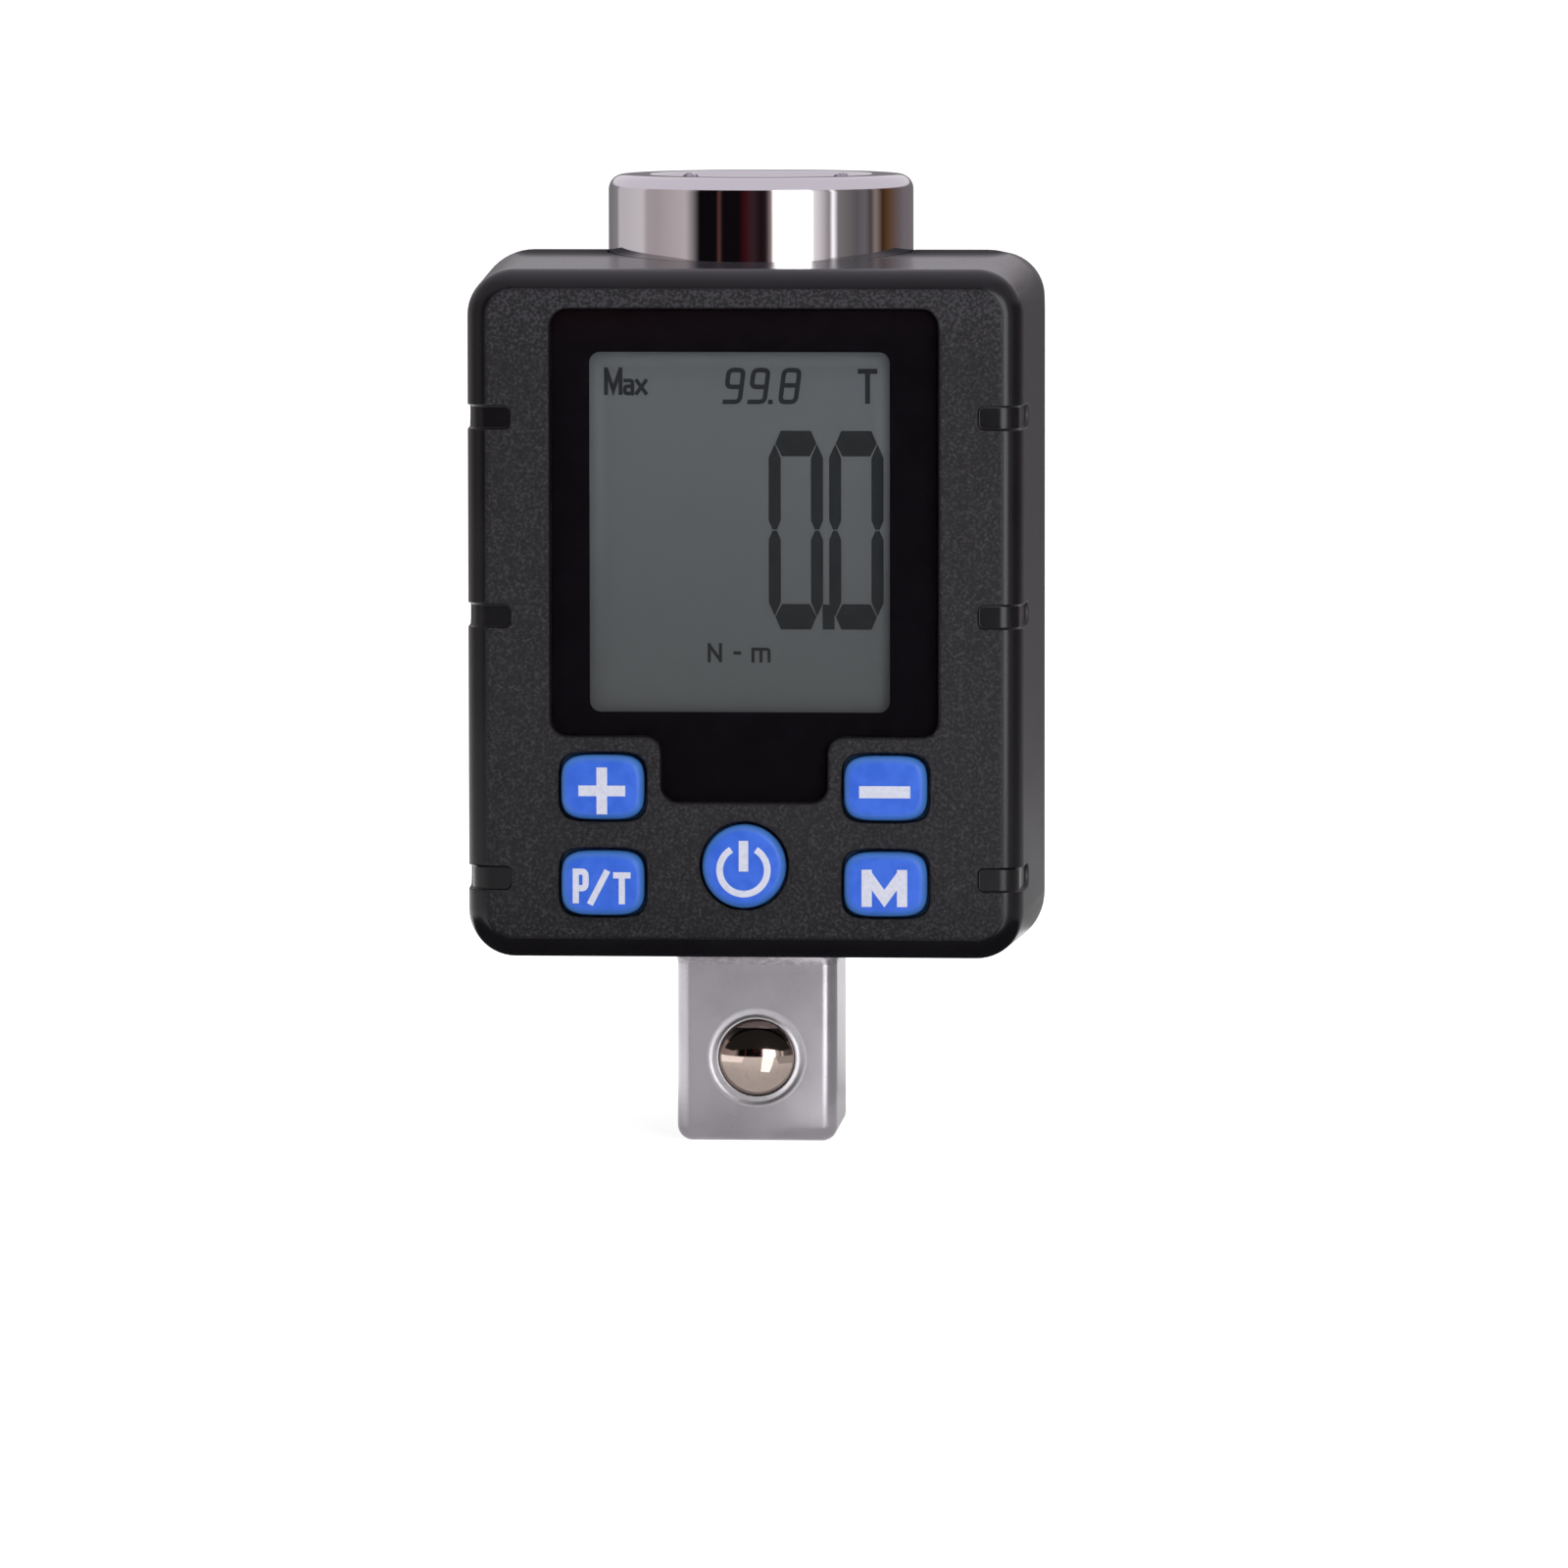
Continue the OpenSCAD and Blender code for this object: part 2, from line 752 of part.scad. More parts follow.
module power_key() {
    color([0.25, 0.43, 0.9]) translate([0, 0, power_z]) {
        crown_y = face_y - key_rise;
        rod(power_d / 2 - key_crown_inset, crown_y, flange_y);
        rod(power_d / 2, crown_y + key_crown_h, flange_y);
        rod(power_d / 2 + key_flange, flange_y, flange_y + key_flange_t);
        rod(pill_r, flange_y, pill_y);
    }
}

// Half section of the head, revolved about the drive axis
function head_section() =
    concat([[0, head_foot_z], [head_r - head_foot_chamfer, head_foot_z],
        [head_r, head_foot_z + head_foot_chamfer]],
        arc([head_r - head_edge_r, head_top_z - head_edge_r], head_edge_r, 0, 90),
        [[0, head_top_z]]);

module socket_cut() {
    translate([0, 0, socket_floor_z]) linear_extrude(socket_depth + cut_overrun)
        polygon(rounded_points(socket_size / 2, socket_size / 2, socket_corner_r));
    translate([0, 0, head_top_z - mouth_depth])
        cylinder(r1 = mouth_r - mouth_depth, r2 = mouth_r, h = mouth_depth);
    for (turn = [0, 90])
        translate([0, 0, detent_pocket_z]) rotate([90, 0, turn])
            cylinder(r = detent_pocket_r, h = socket_size + 2 * detent_pocket_depth, center = true);
}

// Bore of the detent ball: a countersink, a lip that traps the ball, and its guide
module ball_bore() {
    flat_y = -drive_size / 2;
    translate([0, 0, ball_z]) {
        translate([0, lip_y, 0]) rotate([90, 0, 0])
            cylinder(r1 = lip_r, r2 = countersink_r, h = lip_y - flat_y);
        rod(lip_r, lip_y - fit_gap, lip_y + fit_gap);
        rod(bore_r, lip_y, bore_end_y);
    }
}

module drive_shaft() {
    color([0.75, 0.75, 0.77]) difference() {
        union() {
            translate([0, 0, drive_length]) rotate([180, 0, 0])
                drafted_slab(drive_size / 2, drive_size / 2, drive_length, drive_edge_r, drive_edge_r, 0);
            translate([0, 0, bottom_z]) cylinder(r = journal_r, h = journal_h);
            translate([0, 0, flange_z]) cylinder(r = flange_r, h = flange_h);
            translate([0, 0, bar_z]) linear_extrude(head_foot_z - bar_z)
                polygon(rounded_points(bar_size / 2, bar_size / 2, bar_r));
            rotate_extrude() polygon(head_section());
        }
        socket_cut();
        ball_bore();
    }
}

module detent_ball() {
    color([0.8, 0.8, 0.8]) translate([0, ball_y, ball_z]) sphere(r = ball_r);
}

// Centre line of a coil along z, whose radius may change from one end to the other
coil_steps = 8;
coil_sides = 6;
function coil_path(start_r, end_r, length, turns) =
    [for (i = [0:turns * coil_steps])
        let (t = i / (turns * coil_steps), r = start_r + (end_r - start_r) * t, a = 360 * i / coil_steps)
            [r * cos(a), r * sin(a), length * t]];

// Least gap between the turns of a coil, measured from point to point
function coil_gap(path, wire_r) =
    min([for (i = [0:len(path) - 1]) for (j = [i + coil_steps - 1:1:len(path) - 1])
        norm(path[i] - path[j])]) - 2 * wire_r;

// One unbroken round wire along a coil's path
module coil(path, wire_r) {
    count = len(path);
    points = [for (i = [0:count - 1]) for (k = [0:coil_sides - 1])
        let (a = 360 * i / coil_steps, b = 360 * k / coil_sides)
            path[i] + wire_r * [cos(b) * cos(a), cos(b) * sin(a), sin(b)]];
    sides = [for (i = [0:count - 2]) for (k = [0:coil_sides - 1])
        let (
            a = i * coil_sides + k,
            b = i * coil_sides + (k + 1) % coil_sides,
            c = b + coil_sides,
            d = a + coil_sides
        )
        each [[a, b, c], [a, c, d]]];
    last = (count - 1) * coil_sides;
    ends = [for (k = [1:coil_sides - 2])
        each [[0, k + 1, k], [last, last + k, last + k + 1]]];
    polyhedron(points, concat(sides, ends));
}

detent_path = coil_path(spring_r, spring_r, spring_end_y - spring_start_y, spring_turns);
battery_path = coil_path(battery_spring_wide_r, battery_spring_narrow_r,
    battery_spring_h - 2 * battery_wire_r, battery_spring_turns);
echo(detent_spring_gap = coil_gap(detent_path, spring_wire_r));
echo(battery_spring_gap = coil_gap(battery_path, battery_wire_r));

module detent_spring() {
    color([0.6, 0.6, 0.62]) translate([0, spring_start_y, ball_z]) rotate([-90, 0, 0])
        coil(detent_path, spring_wire_r);
}

module strain_gauges() {
    color([0.8, 0.55, 0.2]) translate([0, 0, gauge_z])
        for (turn = [0, 180]) rotate(turn)
            block(gauge_w / 2, gauge_h / 2, -bar_size / 2 - gauge_t, -bar_size / 2, pipe_gap);
}

// Flat ribbon, bonded to the front gauge and bent forward into its connector
module gauge_ribbon() {
    bend_y = ribbon_y - ribbon_bend_r;
    bend_z = ribbon_low_z + ribbon_bend_r;
    end_y = board_back_y + connector_t;
    inner = arc([bend_y, bend_z], ribbon_bend_r - ribbon_t, 0, -90);
    outer = arc([bend_y, bend_z], ribbon_bend_r, -90, 0);
    color([0.75, 0.5, 0.15])
        translate([-ribbon_w / 2, 0, 0]) rotate([90, 0, 90]) linear_extrude(ribbon_w)
            polygon(concat([[ribbon_y - ribbon_t, ribbon_top_z]], inner,
                [[end_y, ribbon_low_z + ribbon_t], [end_y, ribbon_low_z]], outer,
                [[ribbon_y, ribbon_top_z]]));
}

// The two cells lie opposite ways up, so what belongs to one is turned over for the other
module each_cell() {
    bay_middle_z = bay_z + bay_length / 2;
    translate([-cell_x, cell_y, bay_middle_z]) children();
    translate([cell_x, cell_y, bay_middle_z]) rotate([180, 0, 0]) children();
}

module battery_cells() {
    start = contact_t + battery_spring_h - bay_length / 2;
    shoulder = start + cell_length - button_h;
    color([0.25, 0.3, 0.35]) each_cell() rotate_extrude() polygon([
        [0, start], [cell_r - cell_edge_r, start], [cell_r, start + cell_edge_r],
        [cell_r, shoulder - cell_edge_r], [cell_r - cell_edge_r, shoulder],
        [button_r, shoulder], [button_r, shoulder + button_h], [0, shoulder + button_h]]);
}

module battery_springs() {
    color([0.7, 0.7, 0.7]) each_cell()
        translate([0, 0, contact_t + battery_wire_r - bay_length / 2])
            coil(battery_path, battery_wire_r);
}

// The bottom contacts, each with a tab through the tray for its lead
module cell_contacts() {
    color([0.8, 0.8, 0.78])
        for (side = [-1, 1]) translate([side * cell_x, 0, bay_z]) {
            translate([0, cell_y, 0]) cylinder(r = contact_r, h = contact_t);
            translate([-contact_tab_w / 2, contact_tab_y, 0])
                cube([contact_tab_w, cell_y - contact_tab_y, contact_t]);
        }
}

// The top contacts and the strip that joins them, which puts the cells in series
module series_contact() {
    color([0.8, 0.8, 0.78]) translate([0, 0, bay_top_z - contact_t]) {
        for (side = [-1, 1])
            translate([side * cell_x, cell_y, 0]) cylinder(r = contact_r, h = contact_t);
        translate([-cell_x, link_y, 0]) cube([2 * cell_x, link_w - fit_gap, contact_t]);
    }
}

module battery_leads() {
    color([0.7, 0.1, 0.1])
        for (side = [-1, 1])
            translate([side * cell_x, 0, bay_z + contact_t + lead_r])
                rod(lead_r, board_back_y, tray_y - fit_gap);
}

// A pan-head screw with a hexagon recess, its head behind y = 0
module screw(head_r, head_t, shank_r, length) {
    difference() {
        union() {
            rod(head_r, 0, head_t);
            rod(shank_r, -length, 0);
        }
        rotate([-90, 0, 0]) translate([0, 0, head_t - socket_drive_depth])
            cylinder(r = socket_drive_r, h = socket_drive_depth + cut_overrun, $fn = 6);
    }
}

module case_screws() {
    color([0.6, 0.6, 0.62]) all_case_screws() translate([0, case_seat_y, 0])
        screw(case_head_r, case_head_t, case_shank_r, case_screw_length);
}

module board_screws() {
    color([0.6, 0.6, 0.62]) all_board_screws() translate([0, board_back_y, 0])
        screw(board_head_r, board_head_t, board_shank_r, board_screw_length);
}

front_cover();
rear_cover();
battery_door();
display_window();
window_mask();
lcd_panel();
lcd_frame();
lcd_strips();
light_pipe();
circuit_board();
board_chips();
board_connector();
buzzer();
indicator_leds();
key_pads();
key_mat();
plus_key();
minus_key();
mode_key();
memory_key();
power_key();
drive_shaft();
detent_ball();
detent_spring();
strain_gauges();
gauge_ribbon();
battery_cells();
battery_springs();
cell_contacts();
series_contact();
battery_leads();
case_screws();
board_screws();
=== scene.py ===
import json
from math import cos, pi, radians, sin

import bmesh
import bpy
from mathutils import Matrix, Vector
from mathutils.kdtree import KDTree


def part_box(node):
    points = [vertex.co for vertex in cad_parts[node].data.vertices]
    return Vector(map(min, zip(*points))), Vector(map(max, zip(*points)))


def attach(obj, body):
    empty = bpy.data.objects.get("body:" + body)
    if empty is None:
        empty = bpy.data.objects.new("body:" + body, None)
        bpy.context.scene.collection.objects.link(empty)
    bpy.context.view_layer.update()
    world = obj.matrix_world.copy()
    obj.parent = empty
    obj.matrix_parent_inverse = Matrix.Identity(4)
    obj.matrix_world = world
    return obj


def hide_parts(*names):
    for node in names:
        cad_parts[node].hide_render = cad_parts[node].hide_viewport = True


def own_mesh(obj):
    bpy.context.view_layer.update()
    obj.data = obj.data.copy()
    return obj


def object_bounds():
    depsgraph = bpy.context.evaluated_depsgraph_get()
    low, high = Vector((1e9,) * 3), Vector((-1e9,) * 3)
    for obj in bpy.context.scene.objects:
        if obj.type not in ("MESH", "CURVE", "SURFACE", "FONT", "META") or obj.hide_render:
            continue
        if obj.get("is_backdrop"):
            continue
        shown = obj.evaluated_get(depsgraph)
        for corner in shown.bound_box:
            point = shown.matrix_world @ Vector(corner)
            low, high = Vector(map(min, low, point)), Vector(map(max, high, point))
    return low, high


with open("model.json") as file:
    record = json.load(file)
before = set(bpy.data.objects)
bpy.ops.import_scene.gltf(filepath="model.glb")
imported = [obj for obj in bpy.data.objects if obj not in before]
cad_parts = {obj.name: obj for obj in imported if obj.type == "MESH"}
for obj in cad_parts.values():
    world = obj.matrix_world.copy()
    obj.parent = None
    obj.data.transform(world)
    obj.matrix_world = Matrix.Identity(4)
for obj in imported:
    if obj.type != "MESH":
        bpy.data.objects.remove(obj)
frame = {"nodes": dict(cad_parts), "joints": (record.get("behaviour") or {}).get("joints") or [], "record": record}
CAD_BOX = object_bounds()

bl_info = {
    "name": "Digital torque adapter",
    "version": (1, 0, 0),
    "blender": (4, 5, 0),
    "location": "View3D > Sidebar > Torque adapter",
    "description": "Dresses the packed model of a torque adapter and sets it in a studio",
    "category": "Object",
}

MM = 0.001
NODES = frame["nodes"]
HOUSING = "housing"
KEYS = ("plus_key", "minus_key", "mode_key", "memory_key", "power_key")

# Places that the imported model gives
FACE_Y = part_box("front_cover")[0].y
BACK_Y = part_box("battery_door")[1].y
BOTTOM_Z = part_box("front_cover")[0].z
TOP_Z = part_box("front_cover")[1].z
HALF_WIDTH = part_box("front_cover")[1].x

# Small sizes that the functions below use
WINDOW_REACH = 0.6 * MM
FLANGE_DEPTH = 2.1 * MM
SAME_POINT = 0.0005 * MM
FACE_TOLERANCE = 0.02 * MM
PLATE_STEP = 0.002 * MM
CARD_LIFT = 0.3 * MM
CARD_MARGIN = 10 * MM


# Shader maths


class Wire:
    """One value or colour in a material's tree. Sums and products of wires add their Math nodes."""

    def __init__(self, finish, socket):
        self.finish = finish
        self.socket = socket

    def math(self, operation, *values):
        return self.finish.node("ShaderNodeMath", {"operation": operation}, dict(enumerate(values)))

    def __add__(self, other):
        return self.math("ADD", self, other)

    __radd__ = __add__

    def __sub__(self, other):
        return self.math("SUBTRACT", self, other)

    def __rsub__(self, other):
        return self.math("SUBTRACT", other, self)

    def __mul__(self, other):
        return self.math("MULTIPLY", self, other)

    __rmul__ = __mul__

    def __truediv__(self, other):
        return self.math("DIVIDE", self, other)

    def size(self):
        return self.math("ABSOLUTE", self)

    def sign(self):
        return self.math("SIGN", self)

    def larger(self, other):
        return self.math("MAXIMUM", self, other)

    def smaller(self, other):
        return self.math("MINIMUM", self, other)

    def ramp(self, start, end, low=0.0, high=1.0):
        """Goes smoothly from low at start to high at end, and stays level outside them."""
        return self.finish.node(
            "ShaderNodeMapRange",
            {"interpolation_type": "SMOOTHSTEP"},
            {"Value": self, "From Min": start, "From Max": end, "To Min": low, "To Max": high},
        )


class Finish:
    """A material with one Principled shader, whose other nodes are added by calls."""

    def __init__(self, name, colour=(0.5, 0.5, 0.5), roughness=0.5, metallic=0.0, **constants):
        self.material = bpy.data.materials.new(name)
        self.material.use_nodes = True
        self.tree = self.material.node_tree
        self.shader = self.tree.nodes["Principled BSDF"]
        self.result = self.tree.nodes["Material Output"]
        self.set(**{"Base Color": colour, "Roughness": roughness, "Metallic": metallic})
        self.set(**constants)

    def feed(self, socket, value):
        """Links a wire to a socket, or sets the socket's own value."""
        if isinstance(value, Wire):
            self.tree.links.new(value.socket, socket)
        elif isinstance(value, tuple) and socket.type == "RGBA":
            socket.default_value = (*value, 1.0)
        else:
            socket.default_value = value

    def set(self, **values):
        for name, value in values.items():
            self.feed(self.shader.inputs[name.replace("_", " ")], value)

    def node(self, kind, settings=None, values=None, output=0):
        made = self.tree.nodes.new(kind)
        for key, value in (settings or {}).items():
            setattr(made, key, value)
        for key, value in (values or {}).items():
            self.feed(made.inputs[key], value)
        return Wire(self, made.outputs[output])

    def place(self):
        return self.node("ShaderNodeTexCoord", output="Object")

    def axis(self, name):
        return self.node("ShaderNodeSeparateXYZ", {}, {0: self.place()}, output=name)

    def stretched(self, scale):
        """Object coordinates, drawn out by a different scale along each axis."""
        return self.node("ShaderNodeMapping", {}, {"Vector": self.place(), "Scale": scale})

    def noise(self, size, detail=2.0, roughness=0.5, place=None):
        """Cloudy noise from 0 to 1, whose features are about size metres wide."""
        values = {"Vector": place or self.place(), "Scale": 1 / size}
        values.update({"Detail": detail, "Roughness": roughness})
        return self.node("ShaderNodeTexNoise", {}, values)

    def mix(self, factor, first, second):
        """The first colour where factor is 0, and the second where it is 1."""
        values = {0: factor, 6: first, 7: second}
        return self.node("ShaderNodeMix", {"data_type": "RGBA"}, values, output=2)

    def colours(self, value, stops):
        """The colour that a value from 0 to 1 picks from stops of (place, colour)."""
        made = self.tree.nodes.new("ShaderNodeValToRGB")
        elements = made.color_ramp.elements
        elements.remove(elements[1])
        for number, (spot, shade) in enumerate(stops):
            stop = elements.new(spot) if number else elements[0]
            stop.position = spot
            stop.color = (*shade, 1.0)
        self.feed(made.inputs[0], value)
        return Wire(self, made.outputs[0])

    def bump(self, height, depth, strength=1.0):
        values = {"Height": height, "Distance": depth, "Strength": strength}
        self.set(Normal=self.node("ShaderNodeBump", {}, values))

    def between(self, factor, first, second):
        """Mixes two shaders and sends the result to the surface."""
        mixed = self.node("ShaderNodeMixShader", {}, {0: factor, 1: first, 2: second})
        self.feed(self.result.inputs["Surface"], mixed)

    def own_shader(self):
        return Wire(self, self.shader.outputs[0])


# Finishes


def grained_plastic(name, look):
    """Black moulded plastic, spark-eroded on its front and back and satin round its edges, with painted light on
    its top and side walls.
    """
    made = Finish(name, Specular_IOR_Level=look.plastic_specular)
    y = made.axis("Y")
    edge = look.grain_edge
    front = y.ramp(FACE_Y + edge / 4, FACE_Y + edge, 1.0, 0.0)
    back = y.ramp(BACK_Y - edge, BACK_Y - edge / 4)
    grained = front.larger(back)
    grain = made.noise(look.grain_size, 3.0, 0.6)
    blotch = made.noise(look.grain_size * 4.0, 2.0)
    haze = made.noise(9 * MM, 2.0)
    fine = made.noise(0.12 * MM, 1.0)
    made.bump(grain * grained + fine * (0.03 * (1 - grained) + 0.05), look.grain_depth, 1.0)
    z = made.axis("Z")
    # Painted light: the pale grain is lifted up to 2.3 times towards the top of the housing.
    painted_top_lift = z.ramp(TOP_Z - 8 * MM, TOP_Z - 3 * MM) * 1.3 + 1
    speck = grain.ramp(0.41, 0.74) * (blotch * 1.3 + 0.25) * painted_top_lift * grained
    # Painted light: the top rounding and the side walls get the paler colour, as if lit from above and from the
    # sides. The clouded haze added with it is the plastic's own tone.
    reach = look.wall_light_band
    wall = made.axis("X").size().ramp(HALF_WIDTH - reach, HALF_WIDTH - reach / 2)
    rounding = z.ramp(TOP_Z - look.top_light_band, TOP_Z - look.top_light_band / 3)
    level = z.ramp(TOP_Z - look.top_light_band / 5, TOP_Z - look.top_light_band / 25)
    painted_top_wall_light = (rounding * (1 - level)).larger(wall * look.painted_wall_share)
    haze_and_painted_light = (painted_top_wall_light * look.painted_top_light + haze * look.satin_haze) * (1 - grained)
    shade = (speck + haze_and_painted_light).smaller(1.0)
    dark, pale = tuple(look.plastic_colour), tuple(look.plastic_pale)
    made.set(Base_Color=made.mix(shade, dark, pale))
    dull = grained.larger(wall).larger(level)
    matt = dull * look.grain_roughness + level * 0.25
    made.set(Roughness=matt + haze * 0.08 + look.plastic_roughness)
    made.set(Coat_Weight=wall * (1 - grained) * look.handled_shine, Coat_Roughness=0.32)
    return made.material


def window_glass(look):
    """Clear acrylic, which lets light through to the display."""
    made = Finish("window_acrylic", (1.0, 1.0, 1.0), 0.0, Transmission_Weight=1.0, IOR=1.49)
    smear = made.noise(6 * MM, 3.0)
    made.set(Roughness=smear.ramp(0.4, 0.7, 0.0, 0.012))
    open_path = made.node("ShaderNodeBsdfTransparent")
    is_shadow = made.node("ShaderNodeLightPath", output="Is Shadow Ray")
    is_diffuse = made.node("ShaderNodeLightPath", output="Is Diffuse Ray")
    made.between(is_shadow.larger(is_diffuse), made.own_shader(), open_path)
    return made.material


def mask_ink():
    """Black ink on the back of the window, with the faint mottle of a screen print."""
    made = Finish("mask_ink", Specular_IOR_Level=0.0)
    mottle = made.noise(1.6 * MM, 3.0)
    made.set(Base_Color=made.mix(mottle, (0.0042, 0.0034, 0.0048), (0.0080, 0.0064, 0.0088)))
    made.set(Roughness=mottle.ramp(0.3, 0.7, 0.45, 0.6))
    return made.material


def display_cell(look, view):
    """The display's grey film, a little lighter at its top, with a lighter rim that fades out downwards: partly
    the film's own edge, partly painted light against the window frame's shadow.
    """
    made = Finish("display_film", Specular_IOR_Level=0.0)
    low, high = view
    z = made.axis("Z")
    x = made.axis("X")
    fall = z.ramp(low.z, high.z)
    inside = (x - (low.x + high.x) / 2).size() - (high.x - low.x) / 2
    above = (z - (low.z + high.z) / 2).size() - (high.z - low.z) / 2
    # Painted light: the lighter rim near the top lifts the shadow that the window's frame casts on the film.
    rim = inside.larger(above).ramp(-look.lit_rim_width, -look.lit_rim_width / 3)
    film = made.mix(fall, tuple(look.film_low), tuple(look.film_high))
    cloud = made.noise(5 * MM, 2.0)
    made.set(Base_Color=made.mix(rim * fall, film, tuple(look.film_lit_rim)))
    made.set(Roughness=cloud.ramp(0.3, 0.7, 0.5, 0.62))
    return made.material


def display_ink(look):
    """The dark grey of a switched-on segment."""
    made = Finish("segment_dark", Specular_IOR_Level=0.0)
    dots = made.noise(0.2 * MM, 2.0)
    dark = tuple(look.segment_colour)
    made.set(Base_Color=made.mix(dots, dark, tuple(1.25 * part for part in dark)))
    made.set(Roughness=dots.ramp(0.3, 0.7, 0.55, 0.7))
    return made.material


def key_plastic(look):
    """Moulded blue, with painted light on the rounded rim: lighter and greener there, where light comes through.
    """
    made = Finish("key_blue", Specular_IOR_Level=0.28)
    rim = made.node("ShaderNodeAttribute", {"attribute_name": "rim"}, output="Fac")
    cloud = made.noise(1.2 * MM, 2.0)
    body = made.mix(cloud.ramp(0.35, 0.65), tuple(look.key_colour), tuple(look.key_pale))
    # Painted light on the rounded rim, where light comes through the key.
    made.set(Base_Color=made.mix(rim, body, tuple(look.key_rim_light)))
    made.set(Roughness=cloud.ramp(0.3, 0.7, 0.34, 0.44))
    made.bump(made.noise(0.15 * MM, 2.0), 0.004 * MM)
    return made.material


def legend_ink(look):
    """Pale pad-printed ink, slightly thin in places."""
    made = Finish("legend_ink", Specular_IOR_Level=0.3)
    thin = made.noise(0.35 * MM, 3.0)
    pale = tuple(look.legend_colour)
    made.set(Base_Color=made.mix(thin.ramp(0.3, 0.75), pale, tuple(0.88 * part for part in pale)))
    made.set(Roughness=thin.ramp(0.3, 0.7, 0.4, 0.55))
    return made.material


def plated_steel(look):
    """One shaft with two finishes: bright chrome above the housing and satin nickel below it."""
    made = Finish("plated_shaft", metallic=1.0)
    z = made.axis("Z")
    bright = z.ramp(BOTTOM_Z, BOTTOM_Z + 2 * MM)
    blast = made.noise(0.11 * MM, 3.0)
    cloud = made.noise(3.5 * MM, 3.0)
    satin = made.mix(cloud.ramp(0.3, 0.7), tuple(look.satin_colour), tuple(look.satin_pale))
    made.set(Base_Color=made.mix(bright, satin, tuple(look.chrome_colour)))
    across = made.axis("X").size().smaller(made.axis("Y").size())
    half, edge = look.drive_size / 2, look.drive_edge
    rounding = across.ramp(half - edge, half - edge / 2)
    dull = cloud * 0.08 + blast * 0.08 + look.satin_roughness - rounding * look.edge_polish
    made.set(Roughness=bright * look.chrome_roughness + (1 - bright) * dull)
    ripple = made.noise(5 * MM, 1.0)
    made.bump(blast * (1 - bright) + ripple * bright * 0.6, look.satin_depth)
    return made.material


def milled_steel(look):
    """The torn, sparkling surface that the cutter leaves where the flats run out."""
    made = Finish("milled_steel", metallic=1.0)
    tear = made.noise(0.35 * MM, 3.0, 0.7, made.stretched((0.6, 0.6, 1.4)))
    dull = tuple(0.72 * part for part in look.satin_colour)
    made.set(Base_Color=made.mix(tear.ramp(0.42, 0.66), dull, tuple(look.satin_colour)))
    made.set(Roughness=tear.ramp(0.3, 0.7, 0.24, 0.34))
    made.bump(tear, 0.012 * MM)
    return made.material


def polished_steel(name, colour, roughness=0.03):
    """Ground and polished steel, with a trace of fine circular scratches."""
    made = Finish(name, metallic=1.0)
    scratch = made.noise(0.4 * MM, 4.0, 0.7)
    darker = tuple(0.86 * part for part in colour)
    made.set(Base_Color=made.mix(scratch.ramp(0.45, 0.8), colour, darker))
    made.set(Roughness=scratch.ramp(0.4, 0.8, roughness, roughness + 0.04))
    return made.material


def drawn_metal(name, colour, roughness, along=(1.0, 1.0, 1.0), line=0.15 * MM):
    """Plated or drawn metal with fine lines along one axis."""
    made = Finish(name, metallic=1.0)
    lines = made.noise(line, 2.0, 0.6, made.stretched(along))
    darker = tuple(0.72 * part for part in colour)
    made.set(Base_Color=made.mix(lines.ramp(0.35, 0.75), colour, darker))
    made.set(Roughness=lines.ramp(0.3, 0.7, roughness, roughness + 0.12))
    made.bump(lines, 0.008 * MM)
    return made.material


def moulded(name, colour, roughness=0.45, fleck=1.25, grain=0.4 * MM):
    """Plain moulded plastic or rubber, with a fine skin and slight clouds of colour."""
    made = Finish(name)
    cloud = made.noise(grain * 6, 3.0)
    skin = made.noise(grain, 2.0)
    made.set(Base_Color=made.mix(cloud.ramp(0.3, 0.7), colour, tuple(fleck * part for part in colour)))
    made.set(Roughness=skin.ramp(0.3, 0.7, roughness - 0.06, roughness + 0.08))
    made.bump(skin, 0.012 * MM)
    return made.material


def board_mask(look):
    """Green solder mask over raised copper tracks, with the glass weave just showing."""
    made = Finish("solder_mask", Coat_Weight=0.25)
    upright = {"Vector": made.place(), "Rotation": (radians(90), 0, 0)}
    lanes = made.node(
        "ShaderNodeTexBrick",
        {"offset": 0.37, "squash": 1.6},
        {
            "Vector": made.node("ShaderNodeMapping", {}, upright),
            "Scale": 420.0,
            "Mortar Size": 0.035,
            "Color1": (0.0, 0.0, 0.0),
            "Color2": (0.0, 0.0, 0.0),
            "Mortar": (1.0, 1.0, 1.0),
        },
    )
    weave = made.noise(0.25 * MM, 2.0)
    made.set(Base_Color=made.mix(lanes * 0.7 + weave * 0.1, tuple(look.mask_green), tuple(look.track_green)))
    made.set(Roughness=weave.ramp(0.3, 0.7, 0.28, 0.4))
    made.bump(lanes + weave * 0.1, 0.03 * MM)
    return made.material


def cell_jacket(look):
    """A cell's printed sleeve: a dark body, a copper band by the button, and bare tin ends."""
    low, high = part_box("battery_cells")
    made = Finish("cell_sleeve", Coat_Weight=0.4)
    middle = (low.z + high.z) / 2
    up = (made.axis("Z") - middle) * made.axis("X").sign() * -1.0
    band = up.ramp(look.band_height - 0.15 * MM, look.band_height + 0.15 * MM)
    shoulder = high.z - middle - look.button_height
    tin = up.size().ramp(shoulder - look.rim_width, shoulder - look.rim_width + 0.1 * MM)
    foil = made.noise(2.5 * MM, 3.0)
    sleeve = made.mix(foil * 0.4, tuple(look.sleeve_colour), tuple(look.sleeve_pale))
    printed = made.mix(band, sleeve, tuple(look.band_colour))
    made.set(Base_Color=made.mix(tin, printed, (0.62, 0.6, 0.58)))
    made.set(Metallic=tin.larger(band * 0.8))
    made.set(Roughness=foil.ramp(0.3, 0.7, 0.24, 0.34))
    return made.material


